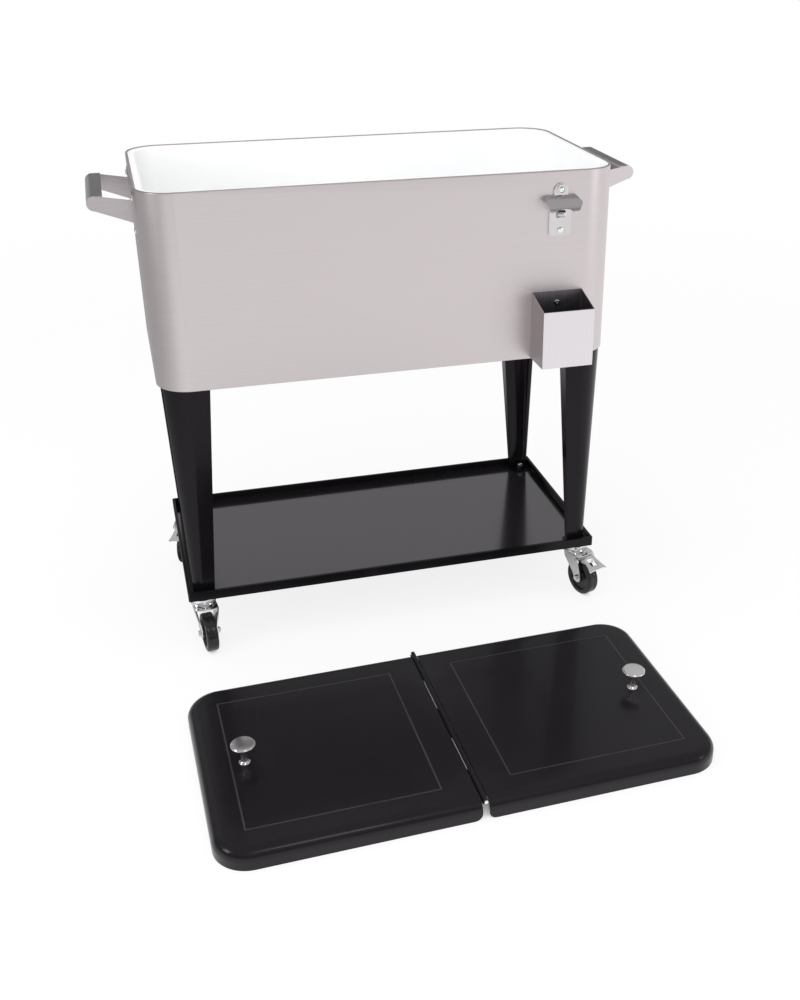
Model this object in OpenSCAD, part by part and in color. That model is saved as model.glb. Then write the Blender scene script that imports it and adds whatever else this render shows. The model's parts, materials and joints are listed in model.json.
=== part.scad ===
// Rolling patio ice chest: an insulated steel tub on four tapered legs with a
// lower tray, four swivel casters and a two-piece lid that folds on a centre hinge.
// The lid is drawn taken off and lying on the floor in front of the cart.
// Millimetres. X runs along the tub, +Y to its back, +Z up, the floor is z = 0.
// The origin is on the floor, at the centre of the box round the cart and its lid.

/* [Tub] */
// Length of the steel tub
tub_length = 760; // [700:5:820]
// Depth of the steel tub, front to back
tub_depth = 390; // [360:5:430]
// Height of the steel tub wall
tub_height = 310; // [280:1:340]
// Radius of the tub's upright corners
tub_corner = 55; // [50:1:56]
// Height of the tub's rim above the floor
rim_height = 792; // [740:1:840]
// Thickness of the tub's steel sheet
shell_sheet = 1; // [0.8:0.1:1.4]
// Thickness of the white liner
liner_wall = 3; // [2.5:0.1:4]
// Gap between the steel wall and the liner, filled with foam
foam_wall = 11; // [9:1:16]
// Thickness of the foam under the liner
foam_floor = 16; // [12:1:24]

/* [Legs] */
// Thickness of the leg sheet
leg_sheet = 1.5; // [1.2:0.1:2]
// Width of a leg's broad face under the tub
leg_top_width = 79; // [74:1:90]
// Width of a leg's broad face at the tray
leg_foot_width = 36; // [34:1:44]
// Corner radius of a leg at the tray
leg_foot_round = 18; // [17:0.5:22]
// How far a leg leans in along X from the tub to the tray
leg_lean_x = 16; // [10:0.5:20]
// How far a leg leans in along Y from the tub to the tray
leg_lean_y = 17; // [14:0.5:20]

/* [Tray] */
// How far the tray reaches past the legs at its ends
tray_past_x = 9.6; // [8:0.2:14]
// How far the tray reaches past the legs at front and back
tray_past_y = 14; // [8:0.5:18]
// Height of the tray's rim
tray_rim = 17; // [14:0.5:24]
// Width of the folded top of the tray's rim
tray_hem = 5; // [4:0.5:6]
// Height of the tray's underside above the floor
tray_height = 97; // [96:0.5:104]

/* [Casters] */
// Diameter of a caster wheel
wheel_diameter = 68; // [60:1:70]
// Width of a caster wheel's tread
wheel_width = 20; // [16:1:21]
// How far the wheel trails behind the swivel
caster_trail = 28; // [24:1:30]
// Heading of the front left caster, in degrees
heading_fl = -83; // [-180:1:180]
// Heading of the front right caster, in degrees
heading_fr = -72; // [-180:1:180]
// Heading of the back left caster, in degrees
heading_bl = -110; // [-180:1:0]
// Heading of the back right caster, in degrees
heading_br = -100; // [-180:1:0]

/* [Handles] */
// How far a handle stands out from the tub
handle_reach = 69.5; // [60:0.5:80]
// Distance between the outer faces of a handle's arms
handle_span = 176; // [150:1:190]
// Thickness of the handle sheet
handle_sheet = 1.5; // [1.2:0.1:2]

/* [Opener and catcher] */
// Distance of the opener and the cap catcher from the tub's end
opener_in = 102; // [102:1:160]
// Width of the cap catcher
catcher_width = 88; // [80:1:90]
// Depth of the cap catcher
catcher_depth = 62; // [50:1:70]
// Height of the cap catcher's back
catcher_back = 113; // [104:1:120]
// Height of the cap catcher's front
catcher_front = 96; // [85:1:98]

/* [Lid] */
// How much longer and deeper than the tub the lid is
lid_margin = 7; // [6:0.5:9]
// Height of the lid
lid_height = 31; // [29:0.5:34]
// Radius of the lid's soft shoulder
lid_shoulder = 17; // [12:0.5:17.5]
// Thickness of the lid's steel sheet
lid_sheet = 1; // [0.8:0.1:1.2]
// Width of the gap between the two lid halves
lid_gap = 10; // [9:0.5:12]
// Turn of the lid as it lies on the floor, in degrees
lid_turn = 1.4; // [0:0.1:4]
// Distance of the lid's middle in front of the cart's middle
lid_away = 546; // [520:1:640]
// Distance of the lid's middle to the left of the cart's middle
lid_left = 12; // [0:1:40]
// Diameter of a lid knob
knob_diameter = 37; // [32:1:42]
// Height of a lid knob
knob_height = 36; // [30:1:36]

/* [Hidden] */
$fn = 64;
cut = 1;                                   // how far a cutting shape runs past a face
run_fit = 0.05;                            // radial clearance of a shaft that turns
bolt_fit = 0.2;                            // radial clearance of a bolt in sheet
pack_fit = 0.1;                            // clearance round moulded foam and inserts
seat = 0.3;                                // clearance between parts that move past each other

// Tub
tub_x = tub_length / 2;
tub_y = tub_depth / 2;
tub_bottom = rim_height - tub_height;
hem_width = 4;                             // width of the rolled steel rim
hem_drop = 8;                              // how far the rolled rim comes down inside
lip_drop = 1.5;                            // liner lip below the top of the rim
lip_top = rim_height - lip_drop;
lip_sheet = 3;
lip_under = rim_height - hem_drop - lip_sheet;
lip_soft = 3;                              // radius of the lip's inner edge
base_inset = 15;                           // tub floor above the bottom edge of the wall
base_sheet = 1.2;
base_flange = 12;
base_under = tub_bottom + base_inset;
base_top = base_under + base_sheet;
liner_out = shell_sheet + foam_wall;       // liner's outer face, in from the steel face
liner_in = liner_out + liner_wall;
floor_round = 20;                          // inner radius between liner wall and floor
liner_under = base_top + foam_floor;
liner_floor = liner_under + liner_wall;

// Drain
drain_in = 130;                            // drain in from the tub's end
drain_x = drain_in - tub_x;
pipe_bore = 9;
pipe_r = 13;
pipe_low = base_under - 34;
drain_flange_r = 22;
drain_flange = 2;
flange_sink = 2;                           // how far the flange is sunk in the basin's floor
lock_r = 20;
lock_height = 6;
lock_washer = 1.5;
cap_r = 17;
cap_floor = 3;
cap_height = 22;
cap_low = pipe_low - seat - cap_floor;
cap_ribs = 12;
cap_rib_r = 1.2;

// Legs
leg_fit = 0.4;                             // leg inside the flange of the tub floor
leg_inset = shell_sheet + base_sheet + leg_fit;
leg_top_x = tub_x - leg_inset;
leg_top_y = tub_y - leg_inset;
leg_top_round = tub_corner - leg_inset;
leg_foot_x = leg_top_x - leg_lean_x;
leg_foot_y = leg_top_y - leg_lean_y;
tray_sheet = 1.2;
tray_floor = tray_height + tray_sheet;
leg_open = 24;                             // angle of the corner that the sheet leaves open
leg_edge = 0.15;                           // width of the free edge's flange, per corner radius
leg_flange = 0.59;                         // depth of the inner flange, per corner radius
leg_steps = 12;
leg_mouth = 6;
leg_plate = 2.5;
foot_plate = 2.5;
foot_deep = 26;
leg_bolt_r = 3;
leg_bolt_in_x = 26;                        // outer bolt in from the leg's end face
leg_bolt_in_y = 18;                        // bolts in from the leg's broad face
leg_bolt_apart = 36;
leg_bolt_long = 12;
bolt_head_r = 5.8;
bolt_head = 4;
boss_r = 7;
boss_height = 11;

// Tray
tray_x = leg_foot_x + tray_past_x;
tray_y = leg_foot_y + tray_past_y;
tray_top = tray_height + tray_rim;
tray_return = 8;                           // how far the folded rim comes back down
tray_corner = 3;

// Casters
corners = [[-1, -1], [1, -1], [-1, 1], [1, 1]];
headings = [heading_fl, heading_fr, heading_bl, heading_br];
wheel_r = wheel_diameter / 2;
caster_x = leg_foot_x - 15.4;
caster_y = leg_foot_y - 12.5;
stem_r = 5;
stem_out = 14;
nut_height = 8;
nut_r = 8.4;
pad_r = 24;
pad_height = 2;
race_r = 22.5;
race_height = 7.4;
race_edge = 1.5;
crown_r = 22;
crown_height = 5;
race_low = tray_height - pad_height - race_height;
crown_top = race_low - seat;
fork_top = crown_top - crown_height;
fork_plate = 2.5;
fork_under = fork_top - fork_plate;
fork_sheet = 2;
fork_inner = 12.4;                         // half the width between the fork's cheeks
fork_half = fork_inner + fork_sheet;
fork_splay = 5.6;                          // how far the cheeks lean out up to the crown
cheek_bend = wheel_r + 10;                 // height where the cheeks start to lean out
fork_nose = 18;                            // fork's reach ahead of the swivel
fork_heel = 36;                            // fork's reach behind the swivel
fork_lip = 14;                             // height of the cheeks' front edge
fork_round = 4;
fork_corner = 12;                          // corner radius of the fork's top plate
axle_boss_r = 9;
king_r = 4;
king_head_r = 7;
king_head = 2.5;
axle_r = 3;
axle_head_r = 5.6;
axle_head = 4;
axle_out = 1.5;
hub_r = 9;
hub_half = fork_inner - 0.2;
web_half = 6;
rim_band = 9;
tread_round = 3;

// Brake
lever_u = 30;                              // lever's pivot behind the swivel
lever_eye_r = 3.8;
lever_z = fork_under - lever_eye_r - 0.6;
lever_lean = (lever_z + lever_eye_r - cheek_bend) / (fork_under + cut - cheek_bend);
rivet_half = fork_half + fork_splay * lever_lean;   // rivet's heads from the fork's middle
lever_pin_r = 2;
lever_pin_head_r = 3.4;
lever_pin_head = 1.2;
lever_half = 14;
lever_sheet = 2;
pedal_half = 20;
pedal_reach = 42;                          // end of the pedal from the lever's pivot
pedal_window = [14, 31, 7];                // near and far end and half width of the pedal's opening
shoe_near = 12;                            // near side of the brake shoe from the pivot
shoe_far = 16;
shoe_half = 8;
shoe_clear = 3.6;                          // released brake shoe to the tread

// Handles
handle_y = handle_span / 2;
flange_out = 22;                           // width of a handle's screw flange
flange_high = rim_height - 17;
flange_low = rim_height - 83;
flange_round = 3;
arm_root_low = rim_height - 66.5;
arm_root_high = rim_height - 31.2;
grip_r = 11.5;
grip_x = tub_x + handle_reach - grip_r;
grip_z = rim_height - 33;
grip_lip = 13.5;                           // flat of the grip's top behind its round face
grip_lower_lip = 8;
grip_hem = 5;
handle_screw_y = handle_y - handle_sheet + flange_out - 9;
handle_screw_low = rim_height - 75;
handle_screw_high = rim_height - 25;
screw_r = 2.5;
screw_head_r = 4.6;
screw_head = 2.4;
screw_deep = 8;                            // how far a screw reaches in from the steel's face

// Opener
opener_x = tub_x - opener_in;
opener_z = rim_height - 94;                // height of the lower screw
opener_pitch = 64.5;
plate_half = 19;
plate_thick = 3;
plate_drop = 9;                            // plate's reach below the lower screw
plate_rise = 40;
plate_round = 6;
tab_r = 12;
tab_z = 62;
boss_out = 5;
opener_boss_r = 8;
recess_deep = 2.6;
hood_z = 31;                               // height of the hood's mouth over the lower screw
hood_r = 25;
hood_wall = 3;
hood_top_half = 24;
hood_tip_half = 30.5;
hood_mouth_half = 20.5;
tooth_half = 7;

// Catcher
catcher_sheet = 1;
catcher_low = tub_bottom + 2;
catcher_screws_z = [26, 93];               // screws above the catcher's floor
catcher_hem = 8;

// Lid
lid_length = tub_length + lid_margin;
lid_depth = tub_depth + lid_margin;
lid_x = lid_length / 2;
lid_y = lid_depth / 2;
lid_corner = tub_corner - 2;
half_gap = lid_gap / 2;
pan_sheet = 1.5;
pan_level = 14;                            // underside of the white pan above the skirt's edge
pan_edge = 7;
pan_inset = lid_sheet + pack_fit;
pan_wall = lid_sheet + 2;                  // pan's turned-up edge in from the lid's outer face
skirt_round = 12;                          // lower corner of the skirts next to the hinge
panel_in = 46.5;                           // embossed panel in from the lid's edges
panel_from = 51.5;                         // embossed panel from the hinge's middle
groove_width = 2.6;
groove_deep = 0.5;
hinge_pin_r = 1.75;
knuckle_r = 3.6;
knuckle_gap = 0.4;
knuckles = 5;
barrel_half = lid_y - 2.5;
knuckle_pitch = 2 * barrel_half / knuckles;
leaf_sheet = 1.2;
leaf_drop = 15;
leaf_half = lid_y - lid_shoulder - 1;
pin_cap_r = 2.9;
pin_cap = 2;
knob_in = 68.5;                            // knob in from the lid's end
knob_x = lid_x - knob_in;
knob_y = -6;
knob_r = knob_diameter / 2;
knob_foot_r = 9;
knob_waist_r = 5;
knob_disc = 5;
knob_bore = 12;
knob_screw_r = 2;
knob_screw_head_r = 4.5;
knob_screw_head = 2;

// Reach of the turned lid from its own middle, and the shift that centres the whole set
lid_reach = (lid_y - lid_corner) * cos(lid_turn) + (lid_x - lid_corner) * sin(lid_turn) + lid_corner;
cart_back = (lid_away + lid_reach - tub_y) / 2;

steel = [0.78, 0.76, 0.75];
bright = [0.85, 0.85, 0.86];
black = [0.05, 0.05, 0.055];
satin = [0.12, 0.115, 0.12];
white = [0.96, 0.96, 0.96];
cast = [0.45, 0.46, 0.44];
foam_colour = [0.93, 0.89, 0.74];

// Shared shapes

// Stands the cart at its place behind the origin
module at_cart() {
    translate([0, cart_back, 0]) children();
}

// Runs a profile, drawn at its own radius, once round a rectangle with round corners
module swept_ring(long, deep, round_r) {
    hx = long / 2 - round_r;
    hy = deep / 2 - round_r;
    for (c = [[1, 1, 0], [-1, 1, 90], [-1, -1, 180], [1, -1, 270]])
        translate([c[0] * hx, c[1] * hy, 0]) rotate([0, 0, c[2]]) rotate_extrude(angle = 90) children();
    for (s = [[hx, 0, 0, hy], [0, hy, 90, hx], [-hx, 0, 180, hy], [0, -hy, 270, hx]])
        translate([s[0], s[1], 0]) rotate([0, 0, s[2]]) rotate([90, 0, 0])
            linear_extrude(2 * s[3], center = true) children();
}

module round_outline(long, deep, round_r) {
    hx = long / 2 - round_r;
    hy = deep / 2 - round_r;
    square([long, 2 * hy], center = true);
    square([2 * hx, deep], center = true);
    for (sx = [-1, 1], sy = [-1, 1]) translate([sx * hx, sy * hy]) circle(round_r);
}

// A flat plate with round corners
module round_plate(long, deep, round_r, low, high) {
    translate([0, 0, low]) linear_extrude(high - low) round_outline(long, deep, round_r);
}

// A quarter ring in the plane, from its centre towards +x and +y
module quarter_ring(outer, wall) {
    intersection() {
        difference() {
            circle(outer);
            circle(outer - wall);
        }
        square(outer + cut);
    }
}

// Extrudes a profile drawn as [out, up] along x, centred
module along_x(width) {
    rotate([0, -90, 0]) linear_extrude(width, center = true) children();
}

// Extrudes a profile drawn as [x, z] along y, centred
module along_y(width) {
    rotate([90, 0, 0]) linear_extrude(width, center = true) children();
}

// A round-headed screw along -z, with the underside of its head at the origin
module wall_screw(long) {
    difference() {
        rotate_extrude() {
            translate([0, -long]) square([screw_r, long]);
            polygon([[0, 0], [screw_head_r, 0], [screw_head_r, 0.4 * screw_head],
                [0.72 * screw_head_r, screw_head], [0, screw_head]]);
        }
        translate([0, 0, 0.45 * screw_head]) cylinder(h = screw_head, r = 0.36 * screw_head_r, $fn = 6);
    }
}

// Frame on the tub's front face: x along, y up, z outwards
module at_front(x, z) {
    translate([x, -tub_y, z]) rotate([90, 0, 0]) children();
}

// Frames on the tub's end faces at the handle screws, z outwards
module at_handle_screws() {
    for (s = [-1, 1], y = [-1, 1], z = [handle_screw_low, handle_screw_high])
        translate([s * tub_x, y * handle_screw_y, z]) rotate([0, s * 90, 0]) children();
}

// Frames on the tub's front face at the opener and catcher screws, z outwards
module at_front_screws() {
    for (z = [opener_z, opener_z + opener_pitch, catcher_low + catcher_screws_z[0],
        catcher_low + catcher_screws_z[1]])
        at_front(opener_x, z) children();
}

// Frames under the tub at the leg bolts
module at_leg_bolts() {
    for (c = corners, k = [0, 1])
        translate([c[0] * (leg_top_x - leg_bolt_in_x - k * leg_bolt_apart), c[1] * (leg_top_y - leg_bolt_in_y), 0])
            children();
}

// Frames on the floor under the four swivels
module at_swivels() {
    for (c = corners) translate([c[0] * caster_x, c[1] * caster_y, 0]) children();
}

// One caster's own frame: x points where its wheel trails
module at_caster(k) {
    at_cart() translate([corners[k][0] * caster_x, corners[k][1] * caster_y, 0])
        rotate([0, 0, headings[k]]) children();
}

// Tub

// Outer skin: one sheet wrapped round, with its top edge rolled inwards
module tub_shell() {
    r = tub_corner;
    bead = hem_width / 2;
    color(steel) at_cart() difference() {
        swept_ring(tub_length, tub_depth, r) {
            translate([r - shell_sheet, tub_bottom]) square([shell_sheet, tub_height - bead]);
            translate([r - bead, rim_height - bead]) {
                quarter_ring(bead, shell_sheet);
                mirror([1, 0]) quarter_ring(bead, shell_sheet);
            }
            translate([r - hem_width, rim_height - hem_drop]) square([shell_sheet, hem_drop - bead]);
        }
        at_handle_screws() cylinder(h = 3 * shell_sheet, r = screw_r + bolt_fit, center = true);
        at_front_screws() cylinder(h = 3 * shell_sheet, r = screw_r + bolt_fit, center = true);
    }
}

// Steel floor of the tub with its turned-down edge and the bosses that take the leg bolts
module base_panel() {
    long = tub_length - 2 * shell_sheet;
    deep = tub_depth - 2 * shell_sheet;
    r = tub_corner - shell_sheet;
    color(steel) at_cart() difference() {
        union() {
            round_plate(long, deep, r, base_under - base_flange, base_top);
            at_leg_bolts() translate([0, 0, base_under]) cylinder(h = base_sheet + boss_height, r = boss_r);
        }
        round_plate(long - 2 * base_sheet, deep - 2 * base_sheet, r - base_sheet, base_under - base_flange - cut,
            base_under);
        at_leg_bolts() translate([0, 0, base_under - cut])
            cylinder(h = boss_height + base_sheet + 2 * cut, r = leg_bolt_r + run_fit);
        translate([drain_x, 0, base_under - cut]) cylinder(h = base_sheet + 2 * cut, r = pipe_r + bolt_fit);
    }
}

// The basin's form as a solid, with a rounded floor edge
module basin_form(inset, round_r, low, high) {
    r = tub_corner - inset - round_r;
    long = tub_length - 2 * inset - 2 * round_r;
    deep = tub_depth - 2 * inset - 2 * round_r;
    round_plate(long + 2 * round_r, deep + 2 * round_r, r + round_r, low + round_r, high);
    round_plate(long, deep, r, low, low + round_r);
    swept_ring(long + 2 * round_r, deep + 2 * round_r, r + round_r)
        translate([r, low + round_r]) intersection() {
            circle(round_r);
            translate([0, -round_r]) square(round_r);
        }
}

// White basin with a lip that tucks under the rolled rim
module liner() {
    r = tub_corner;
    lip_out = hem_width + pack_fit;
    color(white) at_cart() difference() {
        union() {
            basin_form(liner_out, floor_round + liner_wall, liner_under, lip_top);
            swept_ring(tub_length, tub_depth, r) {
                translate([r - liner_in, lip_under]) square([liner_in - lip_out, lip_top - lip_under]);
                translate([r - lip_out - cut, lip_under])
                    square([lip_out + cut - shell_sheet - pack_fit, lip_sheet - pack_fit]);
            }
        }
        basin_form(liner_in, floor_round, liner_floor, rim_height + cut);
        swept_ring(tub_length, tub_depth, r)
            translate([r - liner_in, lip_top - lip_soft]) difference() {
                translate([-cut, 0]) square(lip_soft + cut);
                translate([lip_soft, 0]) circle(lip_soft);
            }
        translate([drain_x, 0, liner_under - cut]) cylinder(h = liner_wall + 2 * cut, r = pipe_r + bolt_fit);
        translate([drain_x, 0, liner_floor - flange_sink]) cylinder(h = liner_wall, r = drain_flange_r + seat);
    }
}

// Moulded foam between the steel and the liner
module foam_core() {
    inset = shell_sheet + pack_fit;
    color(foam_colour) at_cart() difference() {
        round_plate(tub_length - 2 * inset, tub_depth - 2 * inset, tub_corner - inset, base_top, lip_under);
        basin_form(liner_out - pack_fit, floor_round + liner_wall, liner_under, rim_height);
        at_leg_bolts() translate([0, 0, base_top - cut]) cylinder(h = boss_height + cut + seat, r = boss_r + seat);
        translate([drain_x, 0, base_top - cut]) cylinder(h = foam_floor + 2 * cut, r = pipe_r + bolt_fit);
        at_handle_screws() translate([0, 0, -screw_deep - seat]) cylinder(h = screw_deep, r = screw_r + seat);
        at_front_screws() translate([0, 0, -screw_deep - seat]) cylinder(h = screw_deep, r = screw_r + seat);
    }
}

// Drain

// Flanged pipe through the tub's floor
module drain_fitting() {
    under = liner_floor - flange_sink;
    top = under + drain_flange;
    color(white) at_cart() translate([drain_x, 0, 0]) rotate_extrude()
        polygon([[pipe_bore, pipe_low], [pipe_r, pipe_low], [pipe_r, under], [drain_flange_r, under],
            [drain_flange_r - 1, top], [pipe_bore + 3, top], [pipe_bore, top - 2]]);
}

// Locknut that clamps the pipe under the tub
module drain_nut() {
    color(white) at_cart() translate([drain_x, 0, base_under - lock_height]) difference() {
        union() {
            cylinder(h = lock_height - lock_washer, r = lock_r, $fn = 6);
            translate([0, 0, lock_height - lock_washer]) cylinder(h = lock_washer, r = lock_r + 2);
        }
        translate([0, 0, -cut]) cylinder(h = lock_height + 2 * cut, r = pipe_r + run_fit);
    }
}

// Screw cap on the pipe's lower end, with finger ribs
module drain_cap() {
    color(white) at_cart() translate([drain_x, 0, cap_low]) difference() {
        union() {
            cylinder(h = cap_height, r = cap_r);
            for (k = [0:cap_ribs - 1]) rotate([0, 0, k * 360 / cap_ribs])
                translate([cap_r, 0, 0]) cylinder(h = cap_height - 2, r = cap_rib_r);
        }
        translate([0, 0, cap_floor]) cylinder(h = cap_height, r = pipe_r + run_fit);
    }
}

// Legs

// A leg size that changes evenly from the tray up to the tub
function tapered(foot, top, z) = foot + (top - foot) * (z - tray_floor) / (base_under - tray_floor);

// Corner arc from the broad face round to the free edge
function leg_arc(x, y, r, end) = [for (k = [0:leg_steps])
    let (a = 90 - k * (90 - end) / leg_steps) [x - r + r * cos(a), y - r + r * sin(a)]];

// Outer outline of the leg's section at a height
function leg_outer(z) = let (
        x = tapered(leg_foot_x, leg_top_x, z),
        y = tapered(leg_foot_y, leg_top_y, z),
        r = tapered(leg_foot_round, leg_top_round, z),
        inner = x - tapered(leg_foot_width, leg_top_width, z),
        edge_r = r * (1 - leg_edge))
    concat([[inner, y - leg_flange * r], [inner, y]], leg_arc(x, y, r, leg_open),
        [[x - r + edge_r * cos(leg_open), y - r + edge_r * sin(leg_open)]]);

// Inside of the leg's section at a height, open towards the cart's middle
function leg_inner(z) = let (
        t = leg_sheet,
        x = tapered(leg_foot_x, leg_top_x, z),
        y = tapered(leg_foot_y, leg_top_y, z),
        r = tapered(leg_foot_round, leg_top_round, z),
        inner = x - tapered(leg_foot_width, leg_top_width, z) + t,
        mouth_r = r * (1 - leg_edge) - leg_mouth)
    concat([[inner, y - leg_flange * r - cut], [inner, y - t]],
        leg_arc(x - t, y - t, r - t, leg_open + asin(t / (r - t))),
        [[x - r + mouth_r * cos(leg_open) - t * sin(leg_open), y - r + mouth_r * sin(leg_open) + t * cos(leg_open)]]);

// Solid between two outlines at two heights
module between(low, low_points, high, high_points) {
    skin = 0.01;
    hull() {
        translate([0, 0, low]) linear_extrude(skin) polygon(low_points);
        translate([0, 0, high - skin]) linear_extrude(skin) polygon(high_points);
    }
}

// Pressed leg of the back right corner: round outer corner, folded edges, top plate and foot tab
module leg_shape() {
    inside_top = base_under - leg_plate;
    foot_x = leg_foot_x - leg_sheet / 2;
    foot_y = leg_foot_y - leg_sheet / 2;
    difference() {
        union() {
            difference() {
                between(tray_floor, leg_outer(tray_floor), base_under, leg_outer(base_under));
                between(tray_floor - cut, leg_inner(tray_floor - cut), inside_top, leg_inner(inside_top));
            }
            translate([0, 0, tray_floor]) linear_extrude(foot_plate)
                polygon(concat([[foot_x - leg_foot_width + leg_sheet, foot_y - foot_deep],
                    [foot_x - leg_foot_width + leg_sheet, foot_y]],
                    leg_arc(foot_x, foot_y, leg_foot_round - leg_sheet / 2, leg_open),
                    [[foot_x - leg_sheet, foot_y - foot_deep]]));
        }
        translate([caster_x, caster_y, tray_floor - cut])
            cylinder(h = foot_plate + 2 * cut, r = stem_r + bolt_fit);
        for (k = [0, 1])
            translate([leg_top_x - leg_bolt_in_x - k * leg_bolt_apart, leg_top_y - leg_bolt_in_y, inside_top - cut])
                cylinder(h = leg_plate + 2 * cut, r = leg_bolt_r + bolt_fit);
    }
}

module leg(k) {
    color(black) at_cart() mirror([corners[k][0] < 0 ? 1 : 0, 0, 0])
        mirror([0, corners[k][1] < 0 ? 1 : 0, 0]) leg_shape();
}

module leg_fl() {
    leg(0);
}

module leg_fr() {
    leg(1);
}

module leg_bl() {
    leg(2);
}

module leg_br() {
    leg(3);
}

// Eight bolts that hold the legs up to the tub's floor
module leg_bolts() {
    color(bright) at_cart() at_leg_bolts() translate([0, 0, base_under - leg_plate]) {
        cylinder(h = leg_bolt_long, r = leg_bolt_r);
        translate([0, 0, -bolt_head]) cylinder(h = bolt_head, r = bolt_head_r, $fn = 6);
    }
}

// Tray

// Lower tray with an upright rim, its edge folded over and down inside
module tray() {
    t = tray_sheet;
    long = 2 * tray_x;
    deep = 2 * tray_y;
    color(black) at_cart() difference() {
        round_plate(long, deep, tray_corner, tray_height, tray_top);
        round_plate(long - 2 * t, deep - 2 * t, tray_corner - t, tray_floor, tray_top - tray_return);
        round_plate(long - 2 * tray_hem, deep - 2 * tray_hem, t, tray_floor, tray_top + cut);
        difference() {
            round_plate(long - 2 * t, deep - 2 * t, tray_corner - t, tray_floor, tray_top - t);
            round_plate(long - 2 * tray_hem + 2 * t, deep - 2 * tray_hem + 2 * t, 2 * t, tray_floor, tray_top);
        }
        at_swivels() translate([0, 0, tray_height - cut]) cylinder(h = t + 2 * cut, r = stem_r + bolt_fit);
    }
}

// Casters

// Black washers between the tray and the casters
module mount_pads() {
    color(black) at_cart() at_swivels() translate([0, 0, tray_height - pad_height]) difference() {
        cylinder(h = pad_height, r = pad_r);
        translate([0, 0, -cut]) cylinder(h = pad_height + 2 * cut, r = stem_r + bolt_fit);
    }
}

// Nuts on the caster stems, on top of the legs' foot tabs
module stem_nuts() {
    color(bright) at_cart() at_swivels() translate([0, 0, tray_floor + foot_plate]) difference() {
        rotate([0, 0, 30]) cylinder(h = nut_height, r = nut_r, $fn = 6);
        translate([0, 0, -cut]) cylinder(h = nut_height + 2 * cut, r = stem_r + run_fit);
    }
}

// Threaded stem, fixed race and riveted kingpin of one caster
module swivel(k) {
    head_top = fork_under - seat;
    color(bright) at_caster(k) rotate_extrude()
        polygon([[0, head_top - king_head], [king_head_r - 1, head_top - king_head], [king_head_r, head_top],
            [king_r, head_top], [king_r, race_low], [race_r, race_low], [race_r, race_low + race_height - race_edge],
            [race_r - race_edge, race_low + race_height], [stem_r, race_low + race_height],
            [stem_r, tray_floor + stem_out - 1], [stem_r - 1, tray_floor + stem_out], [0, tray_floor + stem_out]]);
}

module swivel_fl() {
    swivel(0);
}

module swivel_fr() {
    swivel(1);
}

module swivel_bl() {
    swivel(2);
}

module swivel_br() {
    swivel(3);
}

// A fork cheek's side view
module cheek_outline() {
    polygon([[fork_corner - fork_nose, fork_top - 1], [fork_heel - fork_round, fork_top - 1],
        [caster_trail + axle_boss_r, wheel_r + 1], [caster_trail, wheel_r - axle_boss_r],
        [caster_trail - axle_boss_r, wheel_r], [fork_corner - fork_nose, fork_top - fork_lip]]);
    translate([caster_trail, wheel_r]) circle(axle_boss_r);
}

// Pressed fork: turning race, top plate and two cheeks that lean in and down to the axle
module fork(k, braked) {
    color(bright) at_caster(k) difference() {
        union() {
            rotate_extrude() polygon([[0, fork_top], [crown_r, fork_top], [crown_r, crown_top - race_edge],
                [crown_r - race_edge, crown_top], [0, crown_top]]);
            translate([(fork_heel - fork_nose) / 2, 0, fork_under]) linear_extrude(fork_plate)
                round_outline(fork_heel + fork_nose, 2 * (fork_half + fork_splay), fork_corner);
            for (s = [-1, 1]) {
                translate([0, s * (fork_inner + fork_sheet / 2), 0]) along_y(fork_sheet) intersection() {
                    cheek_outline();
                    translate([-fork_nose, 0]) square([fork_heel + fork_nose + axle_boss_r, cheek_bend]);
                }
                intersection() {
                    along_y(4 * fork_half) cheek_outline();
                    mirror([0, s < 0 ? 1 : 0, 0]) rotate([90, 0, 90]) linear_extrude(4 * fork_heel, center = true)
                        polygon([[fork_inner, cheek_bend], [fork_half, cheek_bend],
                            [fork_half + fork_splay, fork_under + cut], [fork_inner + fork_splay, fork_under + cut]]);
                }
            }
        }
        translate([0, 0, fork_under - cut]) cylinder(h = crown_height + fork_plate + 2 * cut, r = king_r + run_fit);
        translate([caster_trail, 0, wheel_r]) rotate([90, 0, 0])
            cylinder(h = 2 * fork_half + 2 * cut, r = axle_r + run_fit, center = true);
        if (braked) translate([lever_u, 0, lever_z]) rotate([90, 0, 0])
            cylinder(h = 3 * fork_half, r = lever_pin_r + run_fit, center = true);
    }
}

module fork_fl() {
    fork(0, false);
}

module fork_fr() {
    fork(1, true);
}

module fork_bl() {
    fork(2, true);
}

module fork_br() {
    fork(3, false);
}

// Axle bolt with its nut, across the fork
module axle(k) {
    color(bright) at_caster(k) translate([caster_trail, 0, wheel_r]) rotate([-90, 0, 0]) {
        translate([0, 0, -fork_half]) cylinder(h = 2 * fork_half + axle_head + axle_out, r = axle_r);
        translate([0, 0, -fork_half - axle_head]) cylinder(h = axle_head, r = axle_head_r, $fn = 6);
        translate([0, 0, fork_half]) difference() {
            cylinder(h = axle_head, r = axle_head_r, $fn = 6);
            translate([0, 0, -cut]) cylinder(h = axle_head + 2 * cut, r = axle_r + run_fit);
        }
    }
}

module axle_fl() {
    axle(0);
}

module axle_fr() {
    axle(1);
}

module axle_bl() {
    axle(2);
}

module axle_br() {
    axle(3);
}

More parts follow.
